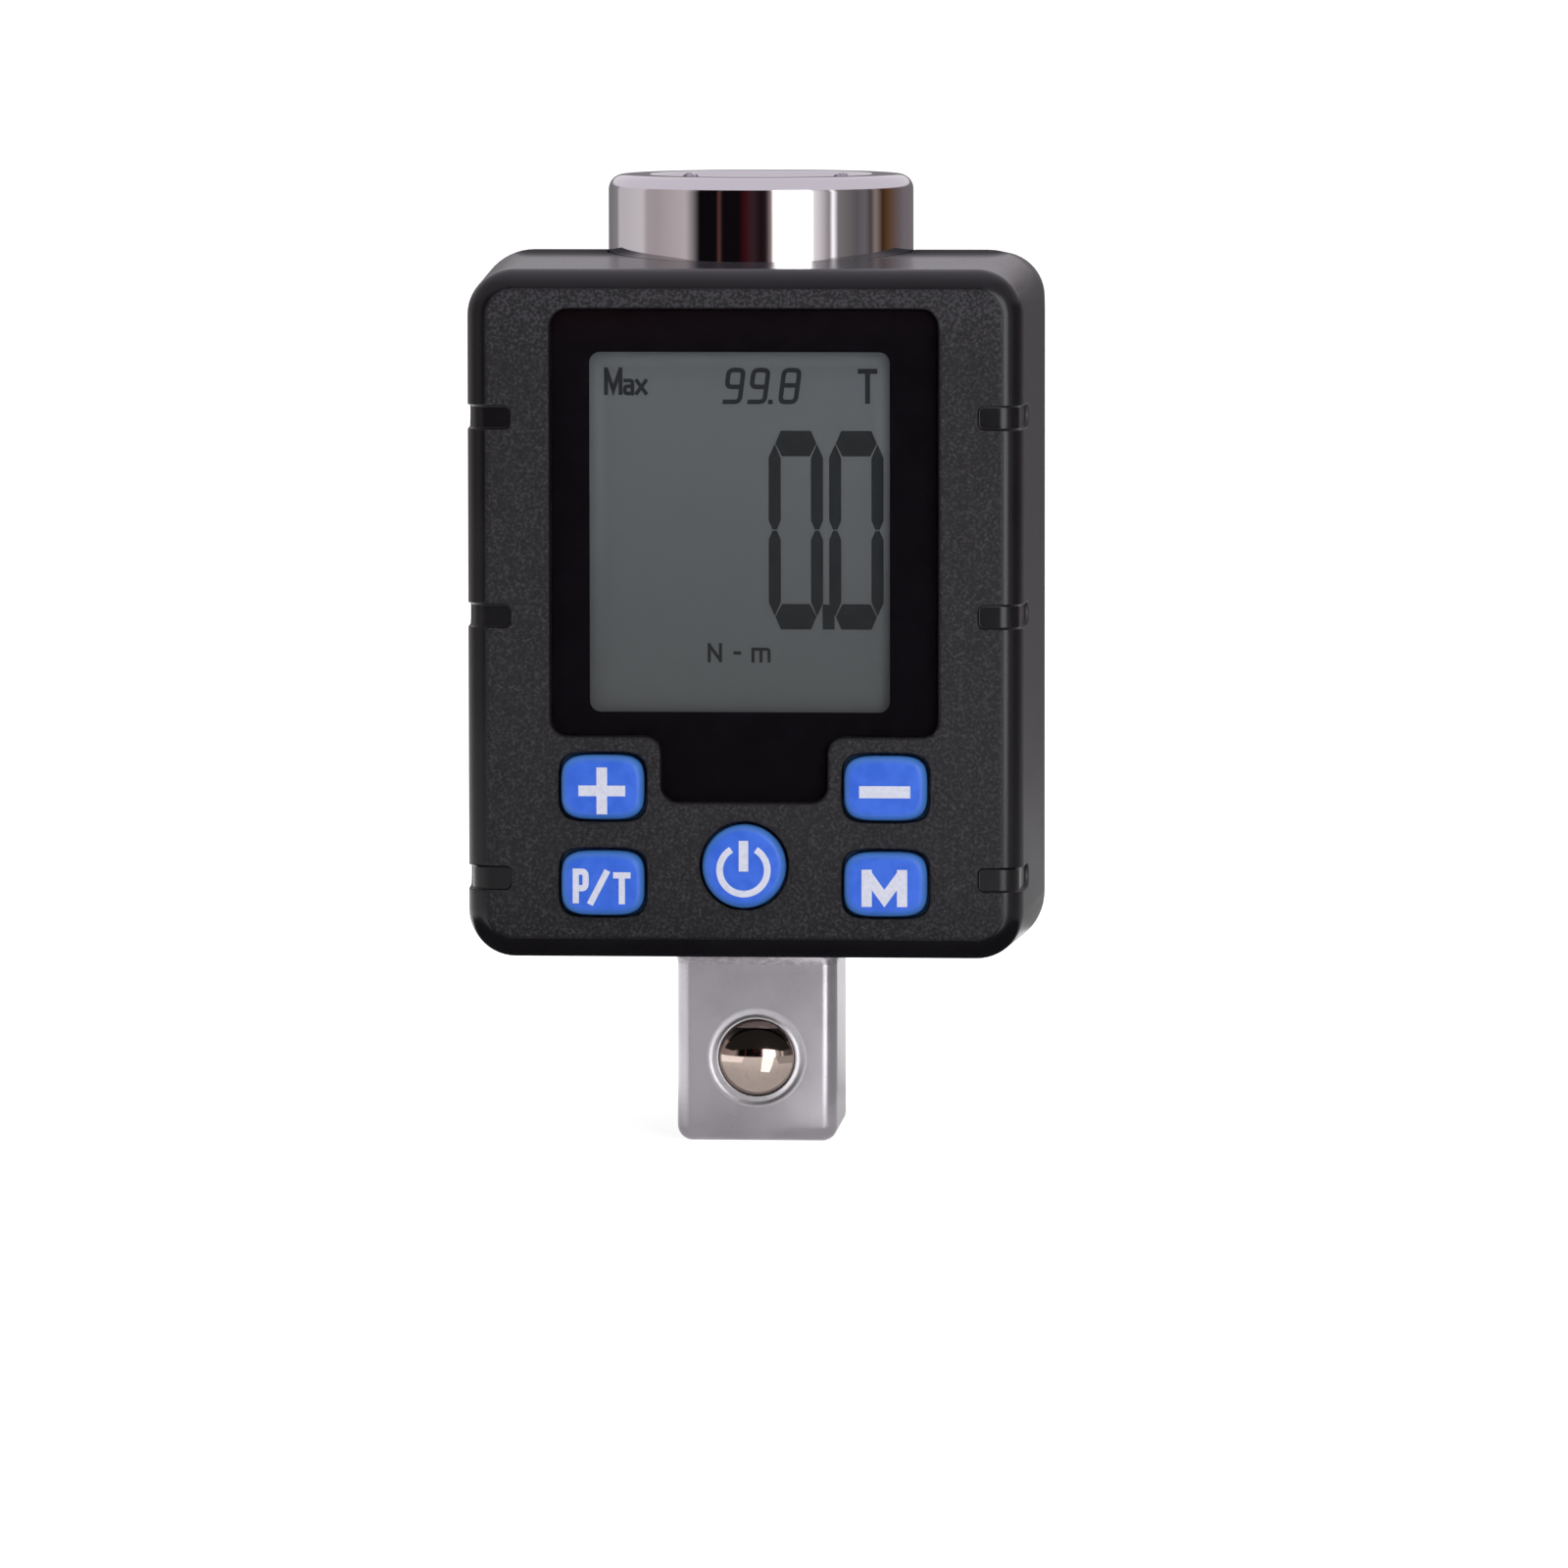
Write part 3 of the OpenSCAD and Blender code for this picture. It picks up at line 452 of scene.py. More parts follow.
def gauge_foil():
    """An amber carrier with a fine metal grid running along the shaft."""
    made = Finish("gauge_foil")
    bands = {"wave_type": "BANDS", "bands_direction": "X"}
    lines = made.node("ShaderNodeTexWave", bands, {"Vector": made.place(), "Scale": 700.0})
    film = made.noise(0.8 * MM, 2.0)
    carrier = made.mix(film, (0.42, 0.2, 0.04), (0.5, 0.26, 0.06))
    grid = lines.ramp(0.55, 0.65)
    made.set(Base_Color=made.mix(grid, carrier, (0.5, 0.48, 0.45)), Metallic=grid)
    made.set(Roughness=film.ramp(0.3, 0.7, 0.25, 0.35))
    return made.material


# Meshes


def finish_mesh(piece, body, material, replaced=(), slot=None, smooth=35.0):
    """Shades a finished piece, gives it its material and lets it ride on its body."""
    piece.data.materials.clear()
    piece.data.materials.append(material)
    piece.data.shade_smooth()
    piece.data.set_sharp_from_angle(angle=radians(smooth))
    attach(piece, body)
    if replaced:
        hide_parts(*replaced)
    return piece


def linked(name, mesh):
    """A new object with a mesh, linked to the scene."""
    made = bpy.data.objects.new(name, mesh)
    bpy.context.scene.collection.objects.link(made)
    return made


def new_piece(name, points, faces):
    """A piece from points and faces, with its faces turned outwards."""
    mesh = bpy.data.meshes.new(name)
    mesh.from_pydata([tuple(point) for point in points], [], faces)
    work = bmesh.new()
    work.from_mesh(mesh)
    bmesh.ops.remove_doubles(work, verts=work.verts, dist=SAME_POINT)
    bmesh.ops.recalc_face_normals(work, faces=work.faces)
    work.to_mesh(mesh)
    work.free()
    return linked(name, mesh)


def skin(rings, closed_ends=True):
    """Points and faces over rings of equal count, with both ends filled."""
    count = len(rings[0])
    points = [point for ring in rings for point in ring]
    faces = []
    for level in range(len(rings) - 1):
        for step in range(count):
            here = level * count + step
            beside = level * count + (step + 1) % count
            faces.append((here, beside, beside + count, here + count))
    if closed_ends:
        last = (len(rings) - 1) * count
        faces.append(tuple(range(count)))
        faces.append(tuple(range(last + count - 1, last - 1, -1)))
    return points, faces


def plates(outlines, front_y, back_y):
    """Flat plates from outlines of (x, z) points, at slightly different levels where they cross."""
    points, faces = [], []
    for number, outline in enumerate(outlines):
        start = len(points)
        count = len(outline)
        level = front_y - number % 3 * PLATE_STEP
        points += [Vector((x, y, z)) for y in (level, back_y) for x, z in outline]
        faces.append(tuple(range(start, start + count)))
        faces.append(tuple(range(start + 2 * count - 1, start + count - 1, -1)))
        for step in range(count):
            beside = (step + 1) % count
            faces.append((start + step, start + count + step, start + count + beside, start + beside))
    return points, faces


def softened(node, look, wide=None, spared=None):
    """A merged copy of a CAD node with its sharp edges broken, which stands for the node.

    Edges that the wide test picks get the wider edge that it comes with, and those that the
    spared test picks stay sharp.
    """
    mesh = NODES[node].data.copy()
    work = bmesh.new()
    work.from_mesh(mesh)
    bmesh.ops.remove_doubles(work, verts=work.verts, dist=0.001 * MM)
    bmesh.ops.dissolve_limit(work, angle_limit=radians(0.5), verts=work.verts, edges=work.edges)
    width, test = wide or (look.broken_edge, None)
    weight = work.edges.layers.float.new("bevel_weight_edge")
    for edge in work.edges:
        if edge.calc_face_angle(0.0) > radians(look.sharp_angle) and not (spared and spared(edge)):
            edge[weight] = 1.0 if test and test(edge) else look.broken_edge / width
    work.to_mesh(mesh)
    work.free()
    piece = linked(node + "_moulding", mesh)
    edges = piece.modifiers.new("broken edges", "BEVEL")
    edges.width = width
    edges.segments = 3 if test else 2
    edges.limit_method = "WEIGHT"
    edges.use_clamp_overlap = False
    edges.miter_outer = "MITER_ARC"
    flats = piece.modifiers.new("flat faces", "WEIGHTED_NORMAL")
    flats.keep_sharp = True
    return piece


def in_socket(look):
    """A test for the edges inside the head's square socket."""
    head_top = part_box("drive_shaft")[1].z

    def test(edge):
        return all(
            vertex.co.xy.length < look.mouth_radius and TOP_Z - look.mouth_radius < vertex.co.z
            for vertex in edge.verts
        ) and min(vertex.co.z for vertex in edge.verts) < head_top - FACE_TOLERANCE

    return test


def round_window(reach):
    """A test for edges on the face whose ends lie within reach of the window's outline."""
    points = [vertex.co for vertex in NODES["display_window"].data.vertices]
    tree = KDTree(len(points))
    for index, point in enumerate(points):
        tree.insert((point.x, 0, point.z), index)
    tree.balance()

    def test(edge):
        return all(
            abs(vertex.co.y - FACE_Y) < FACE_TOLERANCE
            and tree.find((vertex.co.x, 0, vertex.co.z))[2] < reach
            for vertex in edge.verts
        )

    return test


def dress(node, material):
    """Gives a CAD node that stays in view its material."""
    slots = NODES[node].material_slots
    if not slots:
        NODES[node].data.materials.append(material)
    for slot in slots:
        slot.material = material


def box_middle(node):
    low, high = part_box(node)
    return (low + high) / 2


# Marks


def bend(path, radius, steps=4):
    """A path of (x, z) points with its corners rounded."""
    points = [Vector(point) for point in path]
    found = [points[0]]
    for before, corner, after in zip(points, points[1:], points[2:]):
        start = corner + (before - corner).normalized() * radius
        end = corner + (after - corner).normalized() * radius
        for step in range(steps + 1):
            part = step / steps
            found.append(start.lerp(corner, part).lerp(corner.lerp(end, part), part))
    found.append(points[-1])
    return found


def stroke(path, width, cap=0.0):
    """Outline of a line of even width along a path, drawn on past both ends by cap."""
    points = [Vector(point) for point in path]
    ways = [(end - start).normalized() for start, end in zip(points, points[1:])]
    points[0] = points[0] - ways[0] * cap
    points[-1] = points[-1] + ways[-1] * cap
    sides = [Vector((-way.y, way.x)) for way in ways]
    inner = [(one + other) / (1 + one.dot(other)) for one, other in zip(sides, sides[1:])]
    reach = [side * width / 2 for side in (sides[0], *inner, sides[-1])]
    left = [point + side for point, side in zip(points, reach)]
    right = [point - side for point, side in zip(points, reach)]
    return [tuple(point) for point in left + right[::-1]]


# Centre lines of the plain letters, each in a box from 0 to 1
LETTERS = {
    "M": (((0, 0), (0, 1)), ((1, 0), (1, 1)), ((0.07, 0.9), (0.5, 0.12), (0.93, 0.9))),
    "N": (((0, 0), (0, 1)), ((1, 0), (1, 1)), ((0.06, 0.92), (0.94, 0.08))),
    "P": (((0, 0), (0, 1)), ((0, 1), (1, 1), (1, 0.42), (0, 0.42))),
    "T": (((0, 1), (1, 1)), ((0.5, 0), (0.5, 1))),
    "a": (((0.06, 1), (1, 1), (1, 0)), ((1, 0), (0, 0), (0, 0.55), (1, 0.55))),
    "m": (((0, 0), (0, 1)), ((0, 1), (0.5, 1), (0.5, 0)), ((0.5, 1), (1, 1), (1, 0))),
    "x": (((0, 0), (1, 1)), ((0, 1), (1, 0))),
    "8": (
        ((0.5, 1), (0, 1), (0, 0), (0.5, 0)),
        ((0.5, 0), (1, 0), (1, 1), (0.5, 1)),
        ((0, 0.52), (1, 0.52)),
    ),
    "9": (
        ((0, 0), (1, 0), (1, 1), (0.5, 1)),
        ((0.5, 1), (0, 1), (0, 0.47), (0.5, 0.47)),
        ((0.5, 0.47), (1, 0.47)),
    ),
    "+": (((0.5, 0), (0.5, 1)), ((0, 0.5), (1, 0.5))),
    "-": (((0, 0), (1, 0)),),
    "/": (((0, 0), (1, 1)),),
}


def letter(sign, box, width, corner=0.0, lean=0.0):
    """Outlines of one letter in a box of (left, right, low, high), which leans by a share of its height."""
    left, right, low, high = box
    half = width / 2
    across = right - left - width
    up = high - low - width
    found = []
    for path in LETTERS[sign]:
        placed = [(left + half + x * across, low + half + z * up) for x, z in path]
        if corner:
            placed = bend(placed, corner)
        outline = stroke(placed, width, half)
        found.append([(x + lean * (z - low), z) for x, z in outline])
    return found


def segment_outlines(corner, size, thick, bar, waist, lit):
    """Outlines of a digit's lit segments. A is the top bar, B to F run clockwise and G is the middle bar."""
    width, height = size
    middle = height / 2
    gap = 0.05 * thick
    half_bar = bar / 2
    upright = [
        (0, height - 1.05 * bar),
        (thick / 2, height - half_bar - gap),
        (thick - gap, height - bar - gap),
        (thick, height - bar - thick / 4),
        (thick, middle + 0.8 * thick),
        (thick / 2 + waist, middle + gap),
        (thick / 2 - waist, middle + gap),
        (0, middle + 0.8 * thick),
    ]
    top = [
        (thick / 2 + gap, height - half_bar),
        (thick, height),
        (width - thick, height),
        (width - thick / 2 - gap, height - half_bar),
        (width - thick * 1.1, height - bar),
        (thick * 1.1, height - bar),
    ]
    across = [
        (thick / 2 + gap, middle),
        (thick, middle + half_bar),
        (width - thick, middle + half_bar),
        (width - thick / 2 - gap, middle),
        (width - thick, middle - half_bar),
        (thick, middle - half_bar),
    ]
    turned = {
        "A": (top, 1, 1), "B": (upright, -1, 1), "C": (upright, -1, -1), "D": (top, 1, -1),
        "E": (upright, 1, -1), "F": (upright, 1, 1), "G": (across, 1, 1),
    }
    found = []
    for name in lit:
        outline, side, rise = turned[name]
        found.append([
            (corner[0] + (x if side > 0 else width - x), corner[1] + (z if rise > 0 else height - z))
            for x, z in outline
        ])
    return found


def rectangle(left, right, low, high):
    return [(left, low), (right, low), (right, high), (left, high)]


def superellipse(half_x, half_z, power, count):
    """Points of a rounded rectangle whose sides bulge a little, anticlockwise from its right."""
    found = []
    for step in range(count):
        turn = 2 * pi * step / count
        across, up = cos(turn), sin(turn)
        found.append((
            half_x * (1 if across >= 0 else -1) * abs(across) ** (2 / power),
            half_z * (1 if up >= 0 else -1) * abs(up) ** (2 / power),
        ))
    return found


def power_mark(centre, look):
    """Outlines of the power symbol: an open ring and an upright bar."""
    radius = (look.power_ring - look.power_stroke) / 2
    start = pi / 2 + radians(look.power_opening) / 2
    end = start + 2 * pi - radians(look.power_opening)
    turns = [start + (end - start) * step / 48 for step in range(49)]
    ring = [(centre[0] + radius * cos(turn), centre[1] + radius * sin(turn)) for turn in turns]
    top = centre[1] + look.power_bar_top
    bar = [(centre[0], top), (centre[0], top - look.power_bar_length)]
    return [stroke(ring, look.power_stroke), stroke(bar, look.power_bar)]


# Settings


def length(name, description, default):
    return bpy.props.FloatProperty(
        name=name, description=description, default=default, subtype="DISTANCE", unit="LENGTH", precision=5
    )


def share(name, description, default):
    return bpy.props.FloatProperty(name=name, description=description, default=default, min=0.0, max=1.0)


def number(name, description, default):
    return bpy.props.FloatProperty(name=name, description=description, default=default)


def colour(name, description, default):
    return bpy.props.FloatVectorProperty(
        name=name, description=description, default=default, subtype="COLOR", size=3, min=0.0, max=1.0
    )


class TorqueHousingLook(bpy.types.PropertyGroup):
    """Finish of the two covers and the battery door."""

    broken_edge: length("Broken edge", "Width of the small bevel on every sharp edge", 0.11 * MM)
    window_edge: length("Window edge", "Width of the rounded edge round the window", 0.25 * MM)
    sharp_angle: number("Sharp angle", "Edges sharper than this many degrees are broken", 35.0)
    grain_size: length("Grain size", "Width of one grain of the spark-eroded faces", 0.26 * MM)
    grain_depth: length("Grain depth", "Depth of the grain", 0.09 * MM)
    grain_roughness: share("Grain roughness", "How much rougher the grained faces are", 0.34)
    satin_haze: share("Satin haze", "How far the smooth edges are clouded with the paler tone", 0.26)
    grain_edge: length("Grain edge", "How far from a face its grain fades out", 0.05 * MM)
    plastic_colour: colour("Plastic", "Colour of the black plastic", (0.0036, 0.0030, 0.0044))
    plastic_pale: colour("Plastic, raised", "Colour of the tops of the grain", (0.0320, 0.0295, 0.0360))
    plastic_roughness: share("Plastic roughness", "Roughness of the smooth plastic", 0.17)
    # Painted light: the next four settings give the top rounding and the side walls the raised grain's paler
    # colour, as if lit from above and from the sides. The first two also set where the top face is matt and where
    # the walls get their coat.
    top_light_band: length("Handled top", "How far down from the top handling has polished it", 2.2 * MM)
    wall_light_band: length("Handled wall", "How far in from the sides handling has polished it", 1.3 * MM)
    painted_top_light: share("Handled haze", "How much paler handling has made the plastic", 1.0)
    painted_wall_share: share("Wall haze", "Part of that haze that the side walls get", 0.95)
    handled_shine: share("Handled shine", "Shine that handling gives the plastic", 0.16)
    plastic_specular: share("Plastic specular", "Specular level of the plastic", 0.22)


class TorqueDisplayLook(bpy.types.PropertyGroup):
    """Finish of the display and the marks on it."""

    film_high: colour("Film, top", "Colour of the display's film at its top", (0.137, 0.147, 0.157))
    film_low: colour("Film, foot", "Colour of the display's film at its foot", (0.110, 0.116, 0.121))
    # Painted light: the lighter rim lifts the frame's shadow near the film's top, over the film's own lighter
    # edge.
    film_lit_rim: colour("Film, rim", "Colour of the film along its rim", (0.165, 0.178, 0.190))
    lit_rim_width: length("Film rim", "Width of the lighter rim", 1.5 * MM)
    panel_rim: length("Panel rim", "How far the display reaches behind the mask", 1.6 * MM)
    segment_colour: colour("Segments", "Colour of a lit segment", (0.026, 0.027, 0.029))
    segment_lift: length("Segment lift", "How far the segments stand before the film", 0.03 * MM)


class TorqueKeyLook(bpy.types.PropertyGroup):
    """Shape and finish of the keys and the marks on them."""

    key_colour: colour("Key", "Colour of a key's crown", (0.026, 0.132, 0.735))
    key_pale: colour("Key, cloud", "Colour of the paler clouds in the key", (0.036, 0.154, 0.800))
    # Painted light: the rim's lighter, greener blue stands for light coming through the rounded edge.
    key_rim_light: colour("Key, rim", "Colour of a key's rounded rim", (0.052, 0.185, 0.500))
    legend_colour: colour("Legend", "Colour of the printed marks", (0.76, 0.78, 0.92))
    flange: length("Flange", "How far a key's flange reaches out behind the cover", 0.6 * MM)
    flange_thickness: length("Flange thickness", "Thickness of a key's flange", 0.8 * MM)
    edge_radius: length("Edge radius", "Radius that rounds a key's crown", 0.6 * MM)
    pill_radius: length("Pill radius", "Radius of the contact pill behind a key", 1.6 * MM)
    bulge: number("Bulge", "Power of a corner key's outline, from 2 for an oval", 3.8)
    legend_lift: length("Legend lift", "Thickness of the printed marks", 0.02 * MM)
    legend_drop: length("Legend drop", "How far the marks sit below the middle of a key", 0.25 * MM)
    power_ring: length("Power ring", "Outer diameter of the power symbol", 4.25 * MM)
    power_stroke: length("Power stroke", "Width of the power symbol's ring", 0.52 * MM)
    power_opening: number("Power opening", "Opening of the power symbol's ring, in degrees", 62.0)
    power_bar: length("Power bar", "Width of the power symbol's bar", 0.74 * MM)
    power_bar_length: length("Power bar length", "Length of the power symbol's bar", 2.4 * MM)
    power_bar_top: length("Power bar top", "How far the bar rises over the ring's centre", 2.3 * MM)


class TorqueSteelLook(bpy.types.PropertyGroup):
    """Finish of the shaft, its ball and its spring."""

    chrome_colour: colour("Chrome", "Colour of the plated head", (0.66, 0.64, 0.68))
    chrome_roughness: share("Chrome roughness", "Roughness of the plated head", 0.035)
    satin_colour: colour("Satin", "Colour of the square drive", (0.272, 0.257, 0.277))
    satin_pale: colour("Satin, pale", "Colour of the paler clouds on the drive", (0.312, 0.295, 0.318))
    satin_roughness: share("Satin roughness", "Roughness of the square drive", 0.22)
    satin_depth: length("Satin depth", "Depth of the blasted finish", 0.006 * MM)
    ball_colour: colour("Ball", "Colour of the polished ball", (0.40, 0.325, 0.29))
    lip_colour: colour("Lip", "Colour of the rolled lip", (0.36, 0.345, 0.365))
    broken_edge: length("Broken edge", "Width of the small bevel on every sharp edge", 0.15 * MM)
    sharp_angle: number("Sharp angle", "Edges sharper than this many degrees are broken", 35.0)
    edge_polish: share("Edge polish", "How much smoother the rounded edges are", 0.12)
    drive_size: length("Drive size", "Width of the square drive across its flats", 12.7 * MM)
    drive_edge: length("Drive edge", "Radius of the square drive's edges", 1.2 * MM)
    mouth_radius: length("Mouth radius", "Radius within which the socket's edges stay sharp", 9.3 * MM)
    lip_gap: length("Lip gap", "Gap between the rolled lip and the ball", 0.015 * MM)
    run_out_height: length("Run-out height", "Height of the curve where drive and journal meet", 0.9 * MM)
    run_out_reach: length("Run-out reach", "How far that curve reaches out of the drive's flat", 0.5 * MM)


class TorqueInsideLook(bpy.types.PropertyGroup):
    """Finish of what the housing holds."""

    mask_green: colour("Board", "Colour of the solder mask", (0.012, 0.110, 0.045))
    track_green: colour("Tracks", "Colour of the mask over the tracks", (0.030, 0.200, 0.085))
    sleeve_colour: colour("Cell sleeve", "Colour of a cell's sleeve", (0.012, 0.013, 0.016))
    sleeve_pale: colour("Cell sleeve, cloud", "Colour of the sleeve's paler clouds", (0.030, 0.032, 0.038))
    band_colour: colour("Cell band", "Colour of the band by the button", (0.55, 0.27, 0.10))
    band_height: length("Band height", "Height above the middle of a cell where the band starts", 9.0 * MM)
    button_height: length("Button height", "Height of a cell's button", 0.8 * MM)
    rim_width: length("Rim width", "Width of the bare rim at a cell's ends", 0.7 * MM)
    spring_wire: length("Spring wire", "Diameter of the springs' wire", 0.5 * MM)
    detent_turns: number("Detent turns", "Turns of the detent spring", 4.0)
    battery_turns: number("Battery turns", "Turns of a battery spring", 2.5)
    battery_top_radius: length("Battery spring top", "Radius of a battery spring's narrow end", 2.2 * MM)


class TorqueStudioLook(bpy.types.PropertyGroup):
    """The camera, the lamps and the cards round the object."""

    aim_height: length("Aim height", "Height of the point that the camera was fitted to", 38 * MM)
    distance: length("Camera distance", "Distance from that point to the camera", 887 * MM)
    azimuth: number("Camera azimuth", "Degrees that the camera stands to the right of the front", 4.10)
    elevation: number("Camera elevation", "Degrees that the camera stands above the aim", 4.27)
    roll: number("Camera roll", "Degrees that the picture is turned", -0.08)
    focal_length: number("Focal length", "Focal length in millimetres on a 36 mm sensor", 255.9)
    shift_x: number("Shift x", "Sideways shift of the picture", 0.0142)
    shift_y: number("Shift y", "Upward shift of the picture", -0.0806)
    ambient: share("Ambient", "Strength of the light from all round", 0.45)
    key_power: number("Key power", "Power of the tall soft lamp at the front right, in watts", 1.18)
    top_power: number("Top power", "Power of the soft lamp overhead, in watts", 2.4)
    card_radius: length("Card radius", "Distance of the reflecting cards from the shaft", 300 * MM)
    card_height: length("Card height", "Height of the cards in front, under the pale roof", 185 * MM)
    back_height: length("Back height", "Height of the cards behind, under the pale roof", 100 * MM)
    roof_blend: length("Roof blend", "Height over which the cards pass into the roof", 26 * MM)
    roof_height: length("Roof height", "Height of the pale roof over the floor", 420 * MM)
    roof_colour: colour("Roof", "Colour of the pale roof", (0.80, 0.76, 0.81))
    streak_height: length("Streak height", "Height from which the front shows its red streaks", 50 * MM)
    under_light: number("Light below", "Strength of the dark card right below the housing", 0.03)
    strip_light: number("Strip light", "Strength of the bright strip on the floor", 3.3)
    beside_light: number("Side light", "Strength of the grey card on the floor at the right", 0.66)
    behind_light: number("Back light", "Strength of the card on the floor behind the object", 1.7)
    left_light: number("Left light", "Strength of the card on the floor at the left", 2.1)
    floor_size: length("Floor size", "Width of the floor", 30.0)
    floor_light: share("Floor light", "Light that the floor adds for the camera", 0.80)
    floor_mirrored: share("Floor, mirrored", "Part of that light that polished surfaces see", 0.75)


# Rays that see the floor and the world as white
SEEN_RAYS = ("Is Camera Ray", "Is Glossy Ray", "Is Transmission Ray")


# Operators


class TORQUE_OT_housing(bpy.types.Operator):
    """Break the edges of the covers and the battery door, and give them their grained plastic"""

    bl_idname = "torque.housing"
    bl_label = "Dress the housing"

    def execute(self, context):
        look = context.scene.torque_housing
        plastic = grained_plastic("grained_black", look)
        bodies = {"front_cover": HOUSING, "rear_cover": HOUSING, "battery_door": "battery_door"}
        for node, body in bodies.items():
            wide = (look.window_edge, round_window(WINDOW_REACH)) if node == "front_cover" else None
            finish_mesh(softened(node, look, wide), body, plastic, [node], slot_of(node), look.sharp_angle)
        return {"FINISHED"}


class TORQUE_OT_display(bpy.types.Operator):
    """Dress the window and the display, and draw the marks that it shows"""

    bl_idname = "torque.display"
    bl_label = "Dress the display"

    def execute(self, context):
        look = context.scene.torque_display
        low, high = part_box("lcd_panel")
        rim = Vector((look.panel_rim, 0, look.panel_rim))
        view = (low + rim, high - rim)
        dress("display_window", window_glass(look))
        dress("window_mask", mask_ink())
        dress("lcd_panel", display_cell(look, view))
        dress("lcd_frame", moulded("frame_black", (0.02, 0.02, 0.022)))
        dress("lcd_strips", moulded("contact_rubber", (0.45, 0.14, 0.22), 0.6))
        dress("light_pipe", moulded("light_pipe_milk", (0.6, 0.62, 0.64), 0.3, 1.1))
        front, back = low.y - look.segment_lift, low.y + look.segment_lift
        centre = (view[0] + view[1]) / 2
        big = {"size": (4.24 * MM, 15.5 * MM), "thick": 0.94 * MM, "bar": 1.98 * MM, "waist": 0.17 * MM}
        foot = centre.z - 7.62 * MM
        outlines = []
        for left in (2.22 * MM, 6.94 * MM):
            outlines += segment_outlines((centre.x + left, foot), lit="ABCDEF", **big)
        point = centre.x + 6.42 * MM
        outlines.append(rectangle(point, point + 0.93 * MM, foot, foot + 1.95 * MM))
        point = centre.x + 2.18 * MM
        outlines.append(rectangle(point, point + 0.36 * MM, centre.z + 9.95 * MM, centre.z + 10.3 * MM))
        signs = (
            ("M", (-10.63, -9.19, 10.65, 12.79), 0.31, 0.0, 0.0),
            ("a", (-9.15, -8.27, 10.62, 11.92), 0.29, 0.2, 0.0),
            ("x", (-8.22, -7.23, 10.65, 11.89), 0.29, 0.0, 0.0),
            ("9", (-1.4, 0.11, 9.95, 12.79), 0.36, 0.4, 0.13),
            ("9", (0.54, 2.05, 9.95, 12.79), 0.36, 0.4, 0.13),
            ("8", (2.92, 4.48, 9.95, 12.79), 0.36, 0.4, 0.13),
            ("T", (9.18, 10.7, 10.0, 12.72), 0.39, 0.0, 0.0),
            ("N", (-2.57, -1.45, -10.22, -8.72), 0.24, 0.0, 0.0),
            ("-", (-0.55, 0.05, -9.6, -9.36), 0.24, 0.0, 0.0),
            ("m", (0.85, 2.35, -10.22, -9.06), 0.24, 0.2, 0.0),
        )
        for sign, box, width, corner, lean in signs:
            left, right, bottom, top = (part * MM for part in box)
            placed = (centre.x + left, centre.x + right, centre.z + bottom, centre.z + top)
            outlines += letter(sign, placed, width * MM, corner * MM, lean)
        marks = new_piece("display_marks", *plates(outlines, front, back))
        finish_mesh(marks, HOUSING, display_ink(look), slot=slot_of("lcd_panel"))
        return {"FINISHED"}


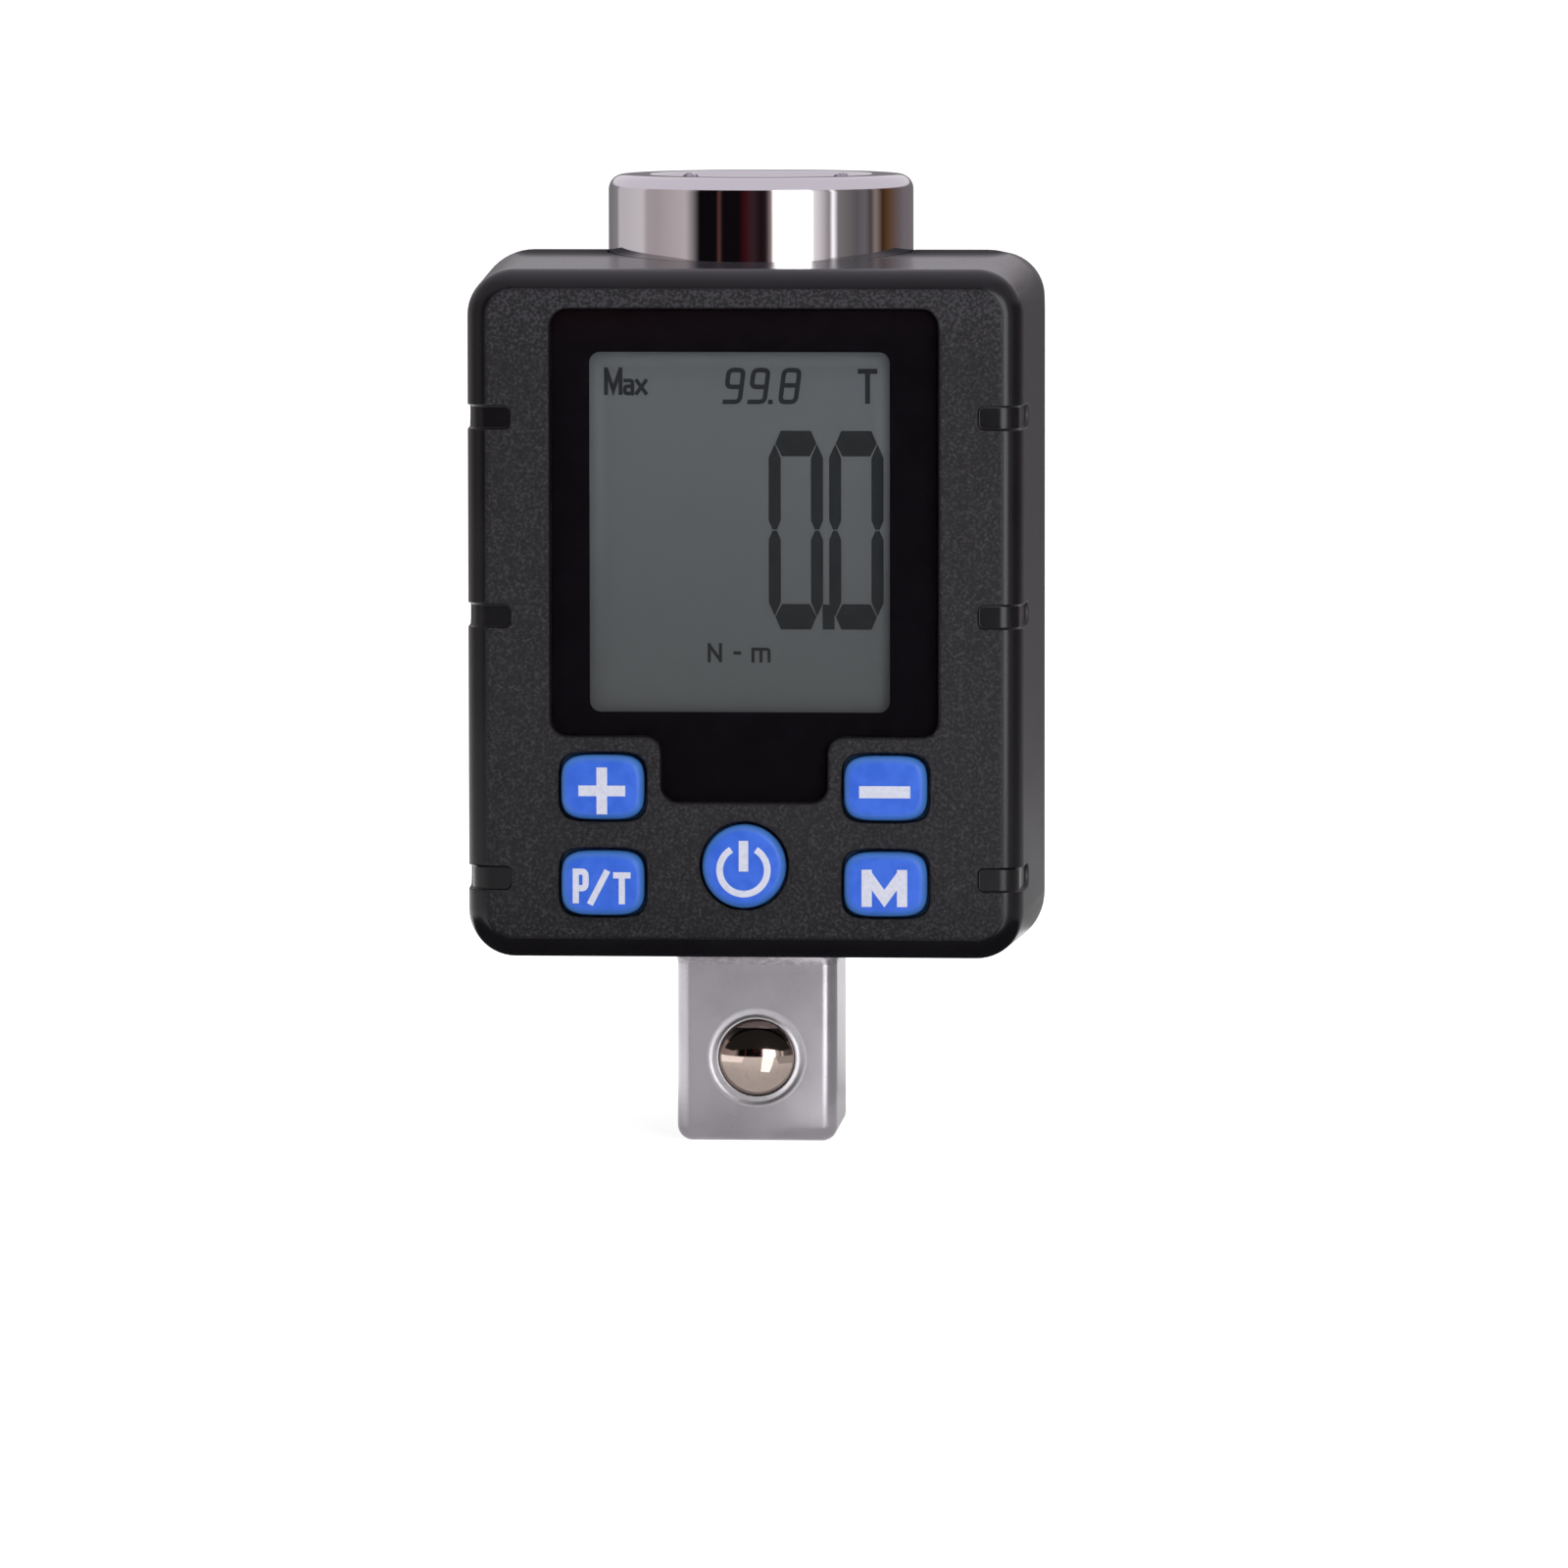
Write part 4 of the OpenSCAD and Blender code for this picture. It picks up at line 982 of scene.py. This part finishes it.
class TORQUE_OT_keys(bpy.types.Operator):
    """Build the five keys with rounded crowns, and print their marks"""

    bl_idname = "torque.keys"
    bl_label = "Build the keys"

    def execute(self, context):
        look = context.scene.torque_keys
        blue = key_plastic(look)
        ink = legend_ink(look)
        for name in KEYS:
            self.build_key(name, look, blue)
            self.print_mark(name, look, ink)
        return {"FINISHED"}

    def build_key(self, name, look, material):
        """A key as one skin: crown, rounded rim, cap, flange behind the cover and contact pill."""
        low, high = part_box(name)
        middle = (low + high) / 2
        half_x = (high.x - low.x) / 2 - look.flange
        half_z = (high.z - low.z) / 2 - look.flange
        power = 2.0 if name == "power_key" else look.bulge
        count = 72
        flange_y = FACE_Y + FLANGE_DEPTH
        flange_back = flange_y + look.flange_thickness
        grown = [(look.flange, flange_back), (look.flange, flange_y), (0.0, flange_y)]
        radius = look.edge_radius
        steps = 8
        for step in range(steps + 1):
            turn = pi / 2 * step / steps
            grown.append((radius * (cos(turn) - 1), low.y + radius * (1 - sin(turn))))
        pill = look.pill_radius
        rings = []
        for y in (high.y, flange_back):
            rings.append([
                Vector((middle.x + pill * x, y, middle.z + pill * z))
                for x, z in superellipse(1, 1, 2.0, count)
            ])
        for grow, y in grown:
            rings.append([
                Vector((middle.x + x, y, middle.z + z))
                for x, z in superellipse(half_x + grow, half_z + grow, power, count)
            ])
        inner_share = 0.6
        inner_x, inner_z = (half_x - radius) * inner_share, (half_z - radius) * inner_share
        rings.append([
            Vector((middle.x + x, low.y, middle.z + z))
            for x, z in superellipse(inner_x, inner_z, power, count)
        ])
        piece = new_piece(name + "_cap", *skin(rings))
        rim = piece.data.attributes.new("rim", "FLOAT", "POINT")
        for index, point in enumerate(piece.data.vertices):
            drop = min(1.0, max(0.0, (point.co.y - low.y) / radius))
            rim.data[index].value = (1 - (1 - drop) ** 2) ** 0.5
        finish_mesh(piece, name, material, [name], slot_of(name), 50.0)

    def print_mark(self, name, look, material):
        """The plain mark on one key, as thin as printed ink."""
        low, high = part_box(name)
        middle = (low + high) / 2
        middle.z -= look.legend_drop
        signs = {
            "plus_key": (("+", (-1.84, 1.82, -1.83, 1.83), 0.83),),
            "minus_key": (("-", (-2.02, 1.96, -0.47, 0.47), 0.94),),
            "mode_key": (
                ("P", (-2.3, -1.05, -1.3, 1.42), 0.48),
                ("/", (-1.1, 0.55, -1.42, 1.3), 0.5),
                ("T", (0.86, 2.22, -1.36, 1.14), 0.48),
            ),
            "memory_key": (("M", (-1.84, 1.72, -1.46, 1.44), 0.8),),
            "power_key": (),
        }
        outlines = [] if signs[name] else power_mark((middle.x, middle.z), look)
        for sign, box, width in signs[name]:
            left, right, bottom, top = (part * MM for part in box)
            placed = (middle.x + left, middle.x + right, middle.z + bottom, middle.z + top)
            outlines += letter(sign, placed, width * MM, 0.34 * MM if sign == "P" else 0.0)
        shape = plates(outlines, low.y - look.legend_lift, low.y + look.legend_lift)
        finish_mesh(new_piece(name + "_mark", *shape), name, material)


# Section of the lip: distances from the ball's axis and depths below the drive's flat
LIP_SECTION = (
    (3.02 * MM, 0.14 * MM), (3.04 * MM, 0.06 * MM), (3.08 * MM, 0.02 * MM), (3.14 * MM, 0.005 * MM),
    (3.22 * MM, 0.015 * MM), (3.30 * MM, 0.035 * MM), (3.38 * MM, 0.052 * MM), (3.46 * MM, 0.058 * MM),
    (3.54 * MM, 0.052 * MM), (3.62 * MM, 0.035 * MM), (3.70 * MM, 0.015 * MM), (3.79 * MM, 0.00 * MM),
    (3.90 * MM, -0.004 * MM), (4.00 * MM, 0.002 * MM), (3.84 * MM, 0.30 * MM), (3.40 * MM, 0.38 * MM),
)


class TORQUE_OT_drive(bpy.types.Operator):
    """Dress the shaft and its ball, and add the curve where the square drive runs out"""

    bl_idname = "torque.drive"
    bl_label = "Dress the drive"

    def execute(self, context):
        look = context.scene.torque_steel
        node = "drive_shaft"
        steel = plated_steel(look)
        shape = softened(node, look, spared=in_socket(look))
        shaft = finish_mesh(shape, HOUSING, steel, [node], slot_of(node), look.sharp_angle)
        shaft.name = "shaft_plated"
        dress("detent_ball", polished_steel("ball_polish", tuple(look.ball_colour), 0.07))
        self.run_out(look, milled_steel(look))
        self.rolled_lip(look, polished_steel("rolled_bright", tuple(look.lip_colour), 0.33))
        return {"FINISHED"}

    def run_out(self, look, material):
        """The milled curve that leads from the drive's flats out to its round journal."""
        half = look.drive_size / 2
        corner = look.drive_edge
        rings = []
        steps = 8
        sections = [(-0.3 * MM, BOTTOM_Z - look.run_out_height), (0.0, BOTTOM_Z - look.run_out_height)]
        for step in range(1, steps + 1):
            turn = pi / 2 * step / steps
            out = look.run_out_reach * (1 - cos(turn))
            sections.append((out, BOTTOM_Z - look.run_out_height * (1 - sin(turn))))
        sections.append((-0.3 * MM, BOTTOM_Z))
        for out, z in sections:
            rings.append([
                Vector((x, y, z)) for x, y in rounded_square(half + out, corner + max(out, 0), 10)
            ])
        points, faces = skin(rings + [rings[0]], closed_ends=False)
        finish_mesh(new_piece("drive_run_out", points, faces), HOUSING, material, slot=slot_of("drive_shaft"))

    def rolled_lip(self, look, material):
        """The bead that is rolled up round the ball to hold it in."""
        middle = box_middle("detent_ball")
        ball_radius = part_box("detent_ball")[1].z - middle.z
        flat_y = -look.drive_size / 2
        section = []
        for reach, sink in LIP_SECTION:
            beside = (ball_radius ** 2 - (flat_y + sink - middle.y) ** 2) ** 0.5 + look.lip_gap
            section.append((max(beside, reach), flat_y + sink))
        count = 96
        turns = [2 * pi * step / count for step in range(count)]
        rings = [
            [Vector((middle.x + radius * cos(turn), y, middle.z + radius * sin(turn))) for turn in turns]
            for radius, y in section
        ]
        points, faces = skin(rings + [rings[0]], closed_ends=False)
        finish_mesh(new_piece("rolled_lip", points, faces), HOUSING, material, slot=slot_of("drive_shaft"))


class TORQUE_OT_springs(bpy.types.Operator):
    """Wind the detent spring and the two battery springs from smooth round wire"""

    bl_idname = "torque.springs"
    bl_label = "Wind the springs"

    def execute(self, context):
        look = context.scene.torque_inside
        wire = look.spring_wire / 2
        steel = drawn_metal("spring_wire", (0.56, 0.55, 0.53), 0.22)
        tree = spring_tree(steel)
        low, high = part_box("detent_spring")
        middle = (low + high) / 2
        outer = (high.x - low.x) / 2 - wire
        coil = {
            "Turns": look.detent_turns, "Start Radius": outer, "End Radius": outer,
            "Height": high.y - low.y - 2 * wire, "Wire Radius": wire,
            "Place": Vector((middle.x, low.y + wire, middle.z)), "Turn": Vector((radians(-90), 0, 0)),
        }
        detent = wound(tree, "detent_spring_wire", [coil])
        finish_mesh(detent, HOUSING, steel, ["detent_spring"], slot_of("detent_spring"))
        keep = self.left_share(low, high)
        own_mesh(detent)
        battery = wound(tree, "battery_spring_wire", self.battery_coils(look, wire))
        finish_mesh(battery, HOUSING, steel, ["battery_springs"], slot_of("battery_springs"))
        return {"FINISHED"}

    def left_share(self, low, high):
        """Share of the detent spring's length that is left when the ball is pressed in."""
        joint = next(joint for joint in frame["joints"] if joint["name"] == "detent_ball_push")
        return 1 - joint["range_m"][1] / (high.y - low.y)

    def battery_coils(self, look, wire):
        """The two battery springs stand at opposite ends, each with its wide end on its contact."""
        cells_low, cells_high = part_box("battery_cells")
        low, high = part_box("battery_springs")
        middle = (low + high) / 2
        wide = (high.y - low.y) / 2 - wire
        reach = (high.x - low.x) / 2 - wide - wire
        coils = []
        for side, foot, turn in ((-1, low.z, 0.0), (1, high.z, pi)):
            gap = cells_low.z - low.z if side < 0 else high.z - cells_high.z
            coils.append({
                "Turns": look.battery_turns, "Start Radius": wide, "End Radius": look.battery_top_radius,
                "Height": gap - wire, "Wire Radius": wire,
                "Place": Vector((side * reach, middle.y, foot - side * wire)), "Turn": Vector((turn, 0, 0)),
            })
        return coils


class TORQUE_OT_inside(bpy.types.Operator):
    """Dress the board, the cells, the contacts and the screws"""

    bl_idname = "torque.inside"
    bl_label = "Dress the inside"

    def execute(self, context):
        look = context.scene.torque_inside
        zinc = drawn_metal("screw_zinc", (0.55, 0.56, 0.58), 0.25, (1.0, 0.2, 1.0))
        tin = drawn_metal("contact_nickel", (0.62, 0.6, 0.56), 0.2, (0.1, 1.0, 1.0))
        dress("circuit_board", board_mask(look))
        dress("board_chips", moulded("chip_epoxy", (0.016, 0.016, 0.018), 0.5))
        dress("board_connector", moulded("connector_ivory", (0.62, 0.58, 0.46), 0.4, 1.08))
        dress("buzzer", moulded("buzzer_black", (0.014, 0.014, 0.014), 0.38))
        dress("indicator_leds", moulded("lamp_lens", (0.7, 0.7, 0.62), 0.25, 1.1))
        dress("key_pads", drawn_metal("pad_gold", (0.72, 0.5, 0.2), 0.25))
        dress("key_mat", moulded("mat_rubber", (0.03, 0.03, 0.034), 0.65))
        dress("strain_gauges", gauge_foil())
        dress("gauge_ribbon", moulded("ribbon_amber", (0.4, 0.2, 0.035), 0.3, 1.15))
        dress("battery_cells", cell_jacket(look))
        dress("battery_leads", moulded("lead_red", (0.5, 0.02, 0.015), 0.4, 1.15))
        for node in ("cell_contacts", "series_contact"):
            dress(node, tin)
        for node in ("case_screws", "board_screws"):
            dress(node, zinc)
        return {"FINISHED"}


class TORQUE_OT_studio(bpy.types.Operator):
    """Set the floor, the lamps, the cards and the camera"""

    bl_idname = "torque.studio"
    bl_label = "Set the studio"

    def execute(self, context):
        look = context.scene.torque_studio
        set_world(context.scene, look)
        set_floor(look)
        set_lamps(look)
        set_cards(look)
        set_camera(context.scene, look)
        return {"FINISHED"}


# Helpers of the operators


def slot_of(node):
    """The record's material slot of a CAD node."""
    return next(part["material_slot"] for part in frame["record"]["subparts"] if part["node"] == node)


def rounded_square(half, corner, steps):
    """Points of a square about the origin with rounded corners."""
    found = []
    for quarter in range(4):
        start = pi / 2 * quarter
        across = 1 if quarter in (0, 3) else -1
        up = 1 if quarter < 2 else -1
        for step in range(steps + 1):
            turn = start + pi / 2 * step / steps
            found.append((
                across * (half - corner) + corner * cos(turn),
                up * (half - corner) + corner * sin(turn),
            ))
    return found


def spring_tree(material):
    """A Geometry Nodes tree that winds one round wire along a spiral."""
    tree = bpy.data.node_groups.new("wound spring", "GeometryNodeTree")
    face = tree.interface
    sockets = (
        ("Turns", "NodeSocketFloat"), ("Start Radius", "NodeSocketFloat"), ("End Radius", "NodeSocketFloat"),
        ("Height", "NodeSocketFloat"), ("Wire Radius", "NodeSocketFloat"), ("Place", "NodeSocketVector"),
        ("Turn", "NodeSocketVector"),
    )
    for name, kind in sockets:
        face.new_socket(name, in_out="INPUT", socket_type=kind)
    face.new_socket("Geometry", in_out="OUTPUT", socket_type="NodeSocketGeometry")
    inputs = tree.nodes.new("NodeGroupInput").outputs
    spiral = tree.nodes.new("GeometryNodeCurveSpiral")
    ring = tree.nodes.new("GeometryNodeCurvePrimitiveCircle")
    tube = tree.nodes.new("GeometryNodeCurveToMesh")
    place = tree.nodes.new("GeometryNodeTransform")
    real = tree.nodes.new("GeometryNodeRealizeInstances")
    painted = tree.nodes.new("GeometryNodeSetMaterial")
    spiral.inputs["Resolution"].default_value = 40
    ring.inputs["Resolution"].default_value = 12
    tube.inputs["Fill Caps"].default_value = True
    painted.inputs["Material"].default_value = material
    links = (
        (inputs["Turns"], spiral.inputs["Rotations"]),
        (inputs["Start Radius"], spiral.inputs["Start Radius"]),
        (inputs["End Radius"], spiral.inputs["End Radius"]),
        (inputs["Height"], spiral.inputs["Height"]),
        (inputs["Wire Radius"], ring.inputs["Radius"]),
        (spiral.outputs["Curve"], tube.inputs["Curve"]),
        (ring.outputs["Curve"], tube.inputs["Profile Curve"]),
        (tube.outputs["Mesh"], place.inputs["Geometry"]),
        (inputs["Place"], place.inputs["Translation"]),
        (inputs["Turn"], place.inputs["Rotation"]),
        (place.outputs["Geometry"], real.inputs["Geometry"]),
        (real.outputs["Geometry"], painted.inputs["Geometry"]),
        (painted.outputs["Geometry"], tree.nodes.new("NodeGroupOutput").inputs["Geometry"]),
    )
    for start, end in links:
        tree.links.new(start, end)
    return tree


def wound(tree, name, coils):
    """One plain mesh with every coil that the tree winds from the given sizes."""
    work = bmesh.new()
    for coil in coils:
        holder = linked(name, bpy.data.meshes.new(name))
        modifier = holder.modifiers.new("coil", "NODES")
        modifier.node_group = tree
        for item in tree.interface.items_tree:
            if item.in_out == "INPUT":
                modifier[item.identifier] = coil[item.name]
        shape = holder.evaluated_get(bpy.context.evaluated_depsgraph_get())
        mesh = bpy.data.meshes.new_from_object(shape)
        work.from_mesh(mesh)
        bpy.data.meshes.remove(mesh)
        bpy.data.objects.remove(holder)
    bmesh.ops.remove_doubles(work, verts=work.verts, dist=SAME_POINT)
    bmesh.ops.recalc_face_normals(work, faces=work.faces)
    mesh = bpy.data.meshes.new(name)
    work.to_mesh(mesh)
    work.free()
    return linked(name, mesh)


def set_world(scene, look):
    """White where it is seen or mirrored, and a plain soft light elsewhere."""
    world = bpy.data.worlds.new("studio")
    world.use_nodes = True
    tree = world.node_tree
    soft = tree.nodes["Background"]
    soft.inputs["Color"].default_value = (1.0, 1.0, 1.0, 1.0)
    soft.inputs["Strength"].default_value = look.ambient
    white = tree.nodes.new("ShaderNodeBackground")
    white.inputs["Color"].default_value = (1.0, 1.0, 1.0, 1.0)
    white.inputs["Strength"].default_value = 1.0
    path = tree.nodes.new("ShaderNodeLightPath")
    seen = path.outputs[SEEN_RAYS[0]]
    for name in SEEN_RAYS[1:]:
        either = tree.nodes.new("ShaderNodeMath")
        either.operation = "MAXIMUM"
        tree.links.new(seen, either.inputs[0])
        tree.links.new(path.outputs[name], either.inputs[1])
        seen = either.outputs[0]
    choice = tree.nodes.new("ShaderNodeMixShader")
    tree.links.new(seen, choice.inputs[0])
    tree.links.new(soft.outputs[0], choice.inputs[1])
    tree.links.new(white.outputs[0], choice.inputs[2])
    tree.links.new(choice.outputs[0], tree.nodes["World Output"].inputs["Surface"])
    scene.world = world
    scene.view_settings.view_transform = "Standard"


def set_floor(look):
    """A pale floor at the foot of the drive, which keeps the object's shadow."""
    half = look.floor_size / 2
    corners = [(-half, -half, 0), (half, -half, 0), (half, half, 0), (-half, half, 0)]
    floor = plain_mesh("floor", corners, [(0, 1, 2, 3)])
    pale = (0.86, 0.86, 0.86)
    made = Finish("floor_white", pale, 0.9, Specular_IOR_Level=0.0, Emission_Strength=look.floor_light)
    ray = [made.node("ShaderNodeLightPath", output=name) for name in SEEN_RAYS]
    seen = ray[0].larger(ray[1] * look.floor_mirrored).larger(ray[2])
    made.set(Emission_Color=made.mix(seen, (0.0, 0.0, 0.0), (1.0, 1.0, 1.0)))
    floor.data.materials.append(made.material)
    floor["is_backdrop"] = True


def aimed(obj, place, target):
    """Puts a lamp or a camera at a place and turns it to a target."""
    obj.location = place
    obj.rotation_euler = (target - place).to_track_quat("-Z", "Y").to_euler()
    bpy.context.scene.collection.objects.link(obj)


def around(azimuth, elevation, distance, height):
    """A point round the shaft: azimuth 0 is in front, and a positive one to the right."""
    turn, rise = radians(azimuth), radians(elevation)
    return Vector((
        distance * sin(turn) * cos(rise),
        -distance * cos(turn) * cos(rise),
        height + distance * sin(rise),
    ))


def set_lamps(look):
    """A tall soft lamp at the front right and a wide one overhead."""
    target = Vector((0, 0, look.aim_height))
    lamps = (
        ("key_lamp", look.key_power, 300 * MM, 560 * MM, around(28.5, 22.0, 620 * MM, look.aim_height)),
        ("top_lamp", look.top_power, 700 * MM, 700 * MM, around(-20.0, 78.0, 800 * MM, look.aim_height)),
    )
    for name, power, width, tall, place in lamps:
        data = bpy.data.lights.new(name, "AREA")
        data.shape = "RECTANGLE"
        data.size = width
        data.size_y = tall
        data.energy = power
        lamp = bpy.data.objects.new(name, data)
        lamp.visible_camera = False
        lamp.visible_glossy = False
        aimed(lamp, place, target)


def plain_mesh(name, points, faces):
    mesh = bpy.data.meshes.new(name)
    mesh.from_pydata(points, [], faces)
    return linked(name, mesh)


def fan(near, far, start, end, middle_y):
    """A fan of floor round the shaft, between two distances and two azimuths in degrees."""
    steps = 8
    turns = [radians(start + (end - start) * step / steps) for step in range(steps + 1)]
    edges = [(near, turn) for turn in turns] + [(far, turn) for turn in reversed(turns)]
    return [(reach * sin(turn), middle_y - reach * cos(turn), CARD_LIFT) for reach, turn in edges]


def card_light(name, strength):
    made = Finish(name, (0.0, 0.0, 0.0), Specular_IOR_Level=0.0, Emission_Strength=strength)
    made.set(Emission_Color=(1.0, 1.0, 1.0))
    return made.material


def set_cards(look):
    """Surroundings that only polished surfaces see, round, under and behind the object."""
    steps = 90
    turns = [2 * pi * step / steps for step in range(steps)]
    rise = look.roof_height - look.card_height
    levels = [(1.0, 0.0), (1.0, look.card_height)]
    for part in range(1, 6):
        lean = pi / 2 * part / 6
        levels.append((cos(lean), look.card_height + rise * sin(lean)))
    rings = [
        [(look.card_radius * reach * sin(turn), -look.card_radius * reach * cos(turn), z) for turn in turns]
        for reach, z in levels
    ]
    points, faces = skin(rings, closed_ends=False)
    faces.append(tuple(range(len(points) - steps, len(points))))
    ball_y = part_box("detent_ball")[0].y
    wide, z = 40 * MM, BOTTOM_Z - 1 * MM
    front, back = FACE_Y - 9 * MM, ball_y - 1.8 * MM
    under = [(-wide, front, z), (wide, front, z), (wide, back, z), (-wide, back, z)]
    cards = [
        ("card_tent", points, faces, tent_light(look)),
        ("card_under", under, [(0, 1, 2, 3)], card_light("card_under_light", look.under_light)),
    ]
    for name, start, end, near, middle_y, strength in (
        ("card_strip", 12, 40, 7.5 * MM, ball_y, look.strip_light),
        ("card_beside", 42, 163, 26 * MM, 0.0, look.beside_light),
        ("card_behind", 165, 190, 10 * MM, 0.0, look.behind_light),
        ("card_left", -150, -30, 32 * MM, 0.0, look.left_light),
    ):
        corners = fan(near, look.card_radius - CARD_MARGIN, start, end, middle_y)
        cards.append((name, corners, [tuple(range(len(corners)))], card_light(name + "_light", strength)))
    for name, corners, sides, material in cards:
        made = plain_mesh(name, corners, sides)
        made.data.materials.append(material)
        made.visible_camera = False
        made.visible_diffuse = False
        made.visible_shadow = False
        made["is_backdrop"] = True


# Shades of the cards by azimuth in degrees, from behind on the left round the front
TENT_SHADES = (
    (-180, (0.22, 0.21, 0.22)), (-150, (0.22, 0.21, 0.22)), (-134, (0.31, 0.29, 0.30)),
    (-130, (0.62, 0.60, 0.60)), (-96, (0.76, 0.71, 0.71)), (-90, (0.50, 0.44, 0.44)),
    (-80, (0.49, 0.43, 0.42)), (-54, (0.64, 0.57, 0.56)), (-43, (0.005, 0.004, 0.005)),
    (-29, (0.005, 0.004, 0.005)), (-27, (0.14, 0.06, 0.05)), (-25, (0.006, 0.004, 0.005)),
    (-12, (0.006, 0.004, 0.005)), (-8, (0.05, 0.006, 0.010)), (-2, (0.045, 0.022, 0.025)),
    (4, (0.014, 0.007, 0.010)), (8, (0.025, 0.014, 0.015)), (12, (0.45, 0.36, 0.34)),
    (16, (6.0, 6.0, 6.0)), (40, (6.0, 6.0, 6.0)), (43, (1.1, 1.05, 1.06)),
    (52, (0.60, 0.56, 0.55)), (56, (0.30, 0.28, 0.28)), (59, (1.6, 1.55, 1.55)),
    (63, (0.25, 0.24, 0.23)), (80, (0.14, 0.13, 0.13)), (88, (0.18, 0.17, 0.18)),
    (94, (0.09, 0.075, 0.070)), (99, (0.32, 0.26, 0.23)), (107, (0.065, 0.028, 0.012)),
    (114, (0.13, 0.065, 0.030)), (140, (0.20, 0.18, 0.19)),
)


def tent_light(look):
    """A light whose colour follows the azimuth round the shaft, under a pale roof."""
    peak = max(max(shade) for _, shade in TENT_SHADES)
    made = Finish("tent_light", (0.0, 0.0, 0.0), Specular_IOR_Level=0.0, Emission_Strength=peak)
    x, y, z = (made.axis(name) for name in "XYZ")
    turn = x.math("ARCTAN2", x, 0 - y)
    stops = [((azimuth + 180) / 360, tuple(part / peak for part in shade)) for azimuth, shade in TENT_SHADES]
    wall = made.colours(turn / (2 * pi) + 0.5, stops)
    beside = (turn + radians(4)).size().ramp(radians(9), radians(11))
    above = z.ramp(look.streak_height, look.streak_height + 4 * MM)
    wall = made.mix(beside.larger(above), (0.0008, 0.0007, 0.0008), wall)
    fronting = 0.5 - y / (2 * look.card_radius)
    brim = fronting * (look.card_height - look.back_height) + look.back_height
    roof = z.ramp(brim, brim + look.roof_blend)
    made.set(Emission_Color=made.mix(roof, wall, tuple(part / peak for part in look.roof_colour)))
    return made.material


def set_camera(scene, look):
    """The camera stands where the photograph's did."""
    data = bpy.data.cameras.new("camera")
    data.lens = look.focal_length
    data.sensor_width = 36.0
    data.shift_x = look.shift_x
    data.shift_y = look.shift_y
    data.clip_start = 0.05
    data.clip_end = 20.0
    camera = bpy.data.objects.new("camera", data)
    target = Vector((0, 0, look.aim_height))
    aimed(camera, around(look.azimuth, look.elevation, look.distance, look.aim_height), target)
    camera.rotation_euler.rotate_axis("Z", radians(look.roll))
    scene.camera = camera


class TORQUE_PT_panel(bpy.types.Panel):
    """Lists the steps that dress the torque adapter"""

    bl_idname = "TORQUE_PT_panel"
    bl_label = "Torque adapter"
    bl_space_type = "VIEW_3D"
    bl_region_type = "UI"
    bl_category = "Torque adapter"

    def draw(self, context):
        for step in STEPS:
            self.layout.operator(step.bl_idname)


STEPS = (
    TORQUE_OT_housing,
    TORQUE_OT_display,
    TORQUE_OT_keys,
    TORQUE_OT_drive,
    TORQUE_OT_springs,
    TORQUE_OT_inside,
    TORQUE_OT_studio,
)
LOOKS = {
    "torque_housing": TorqueHousingLook,
    "torque_display": TorqueDisplayLook,
    "torque_keys": TorqueKeyLook,
    "torque_steel": TorqueSteelLook,
    "torque_inside": TorqueInsideLook,
    "torque_studio": TorqueStudioLook,
}


def register():
    for group in (*LOOKS.values(), *STEPS, TORQUE_PT_panel):
        bpy.utils.register_class(group)
    for name, group in LOOKS.items():
        setattr(bpy.types.Scene, name, bpy.props.PointerProperty(type=group))


def unregister():
    for name in LOOKS:
        delattr(bpy.types.Scene, name)
    for group in (TORQUE_PT_panel, *reversed(STEPS), *reversed(tuple(LOOKS.values()))):
        bpy.utils.unregister_class(group)


def main():
    register()
    for step in STEPS:
        group, name = step.bl_idname.split(".")
        getattr(getattr(bpy.ops, group), name)()
    boxes = {"cad": CAD_BOX, "visual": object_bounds()}
    {name: [list(corner) for corner in box] for name, box in boxes.items()}


if __name__ == "__main__":
    main()
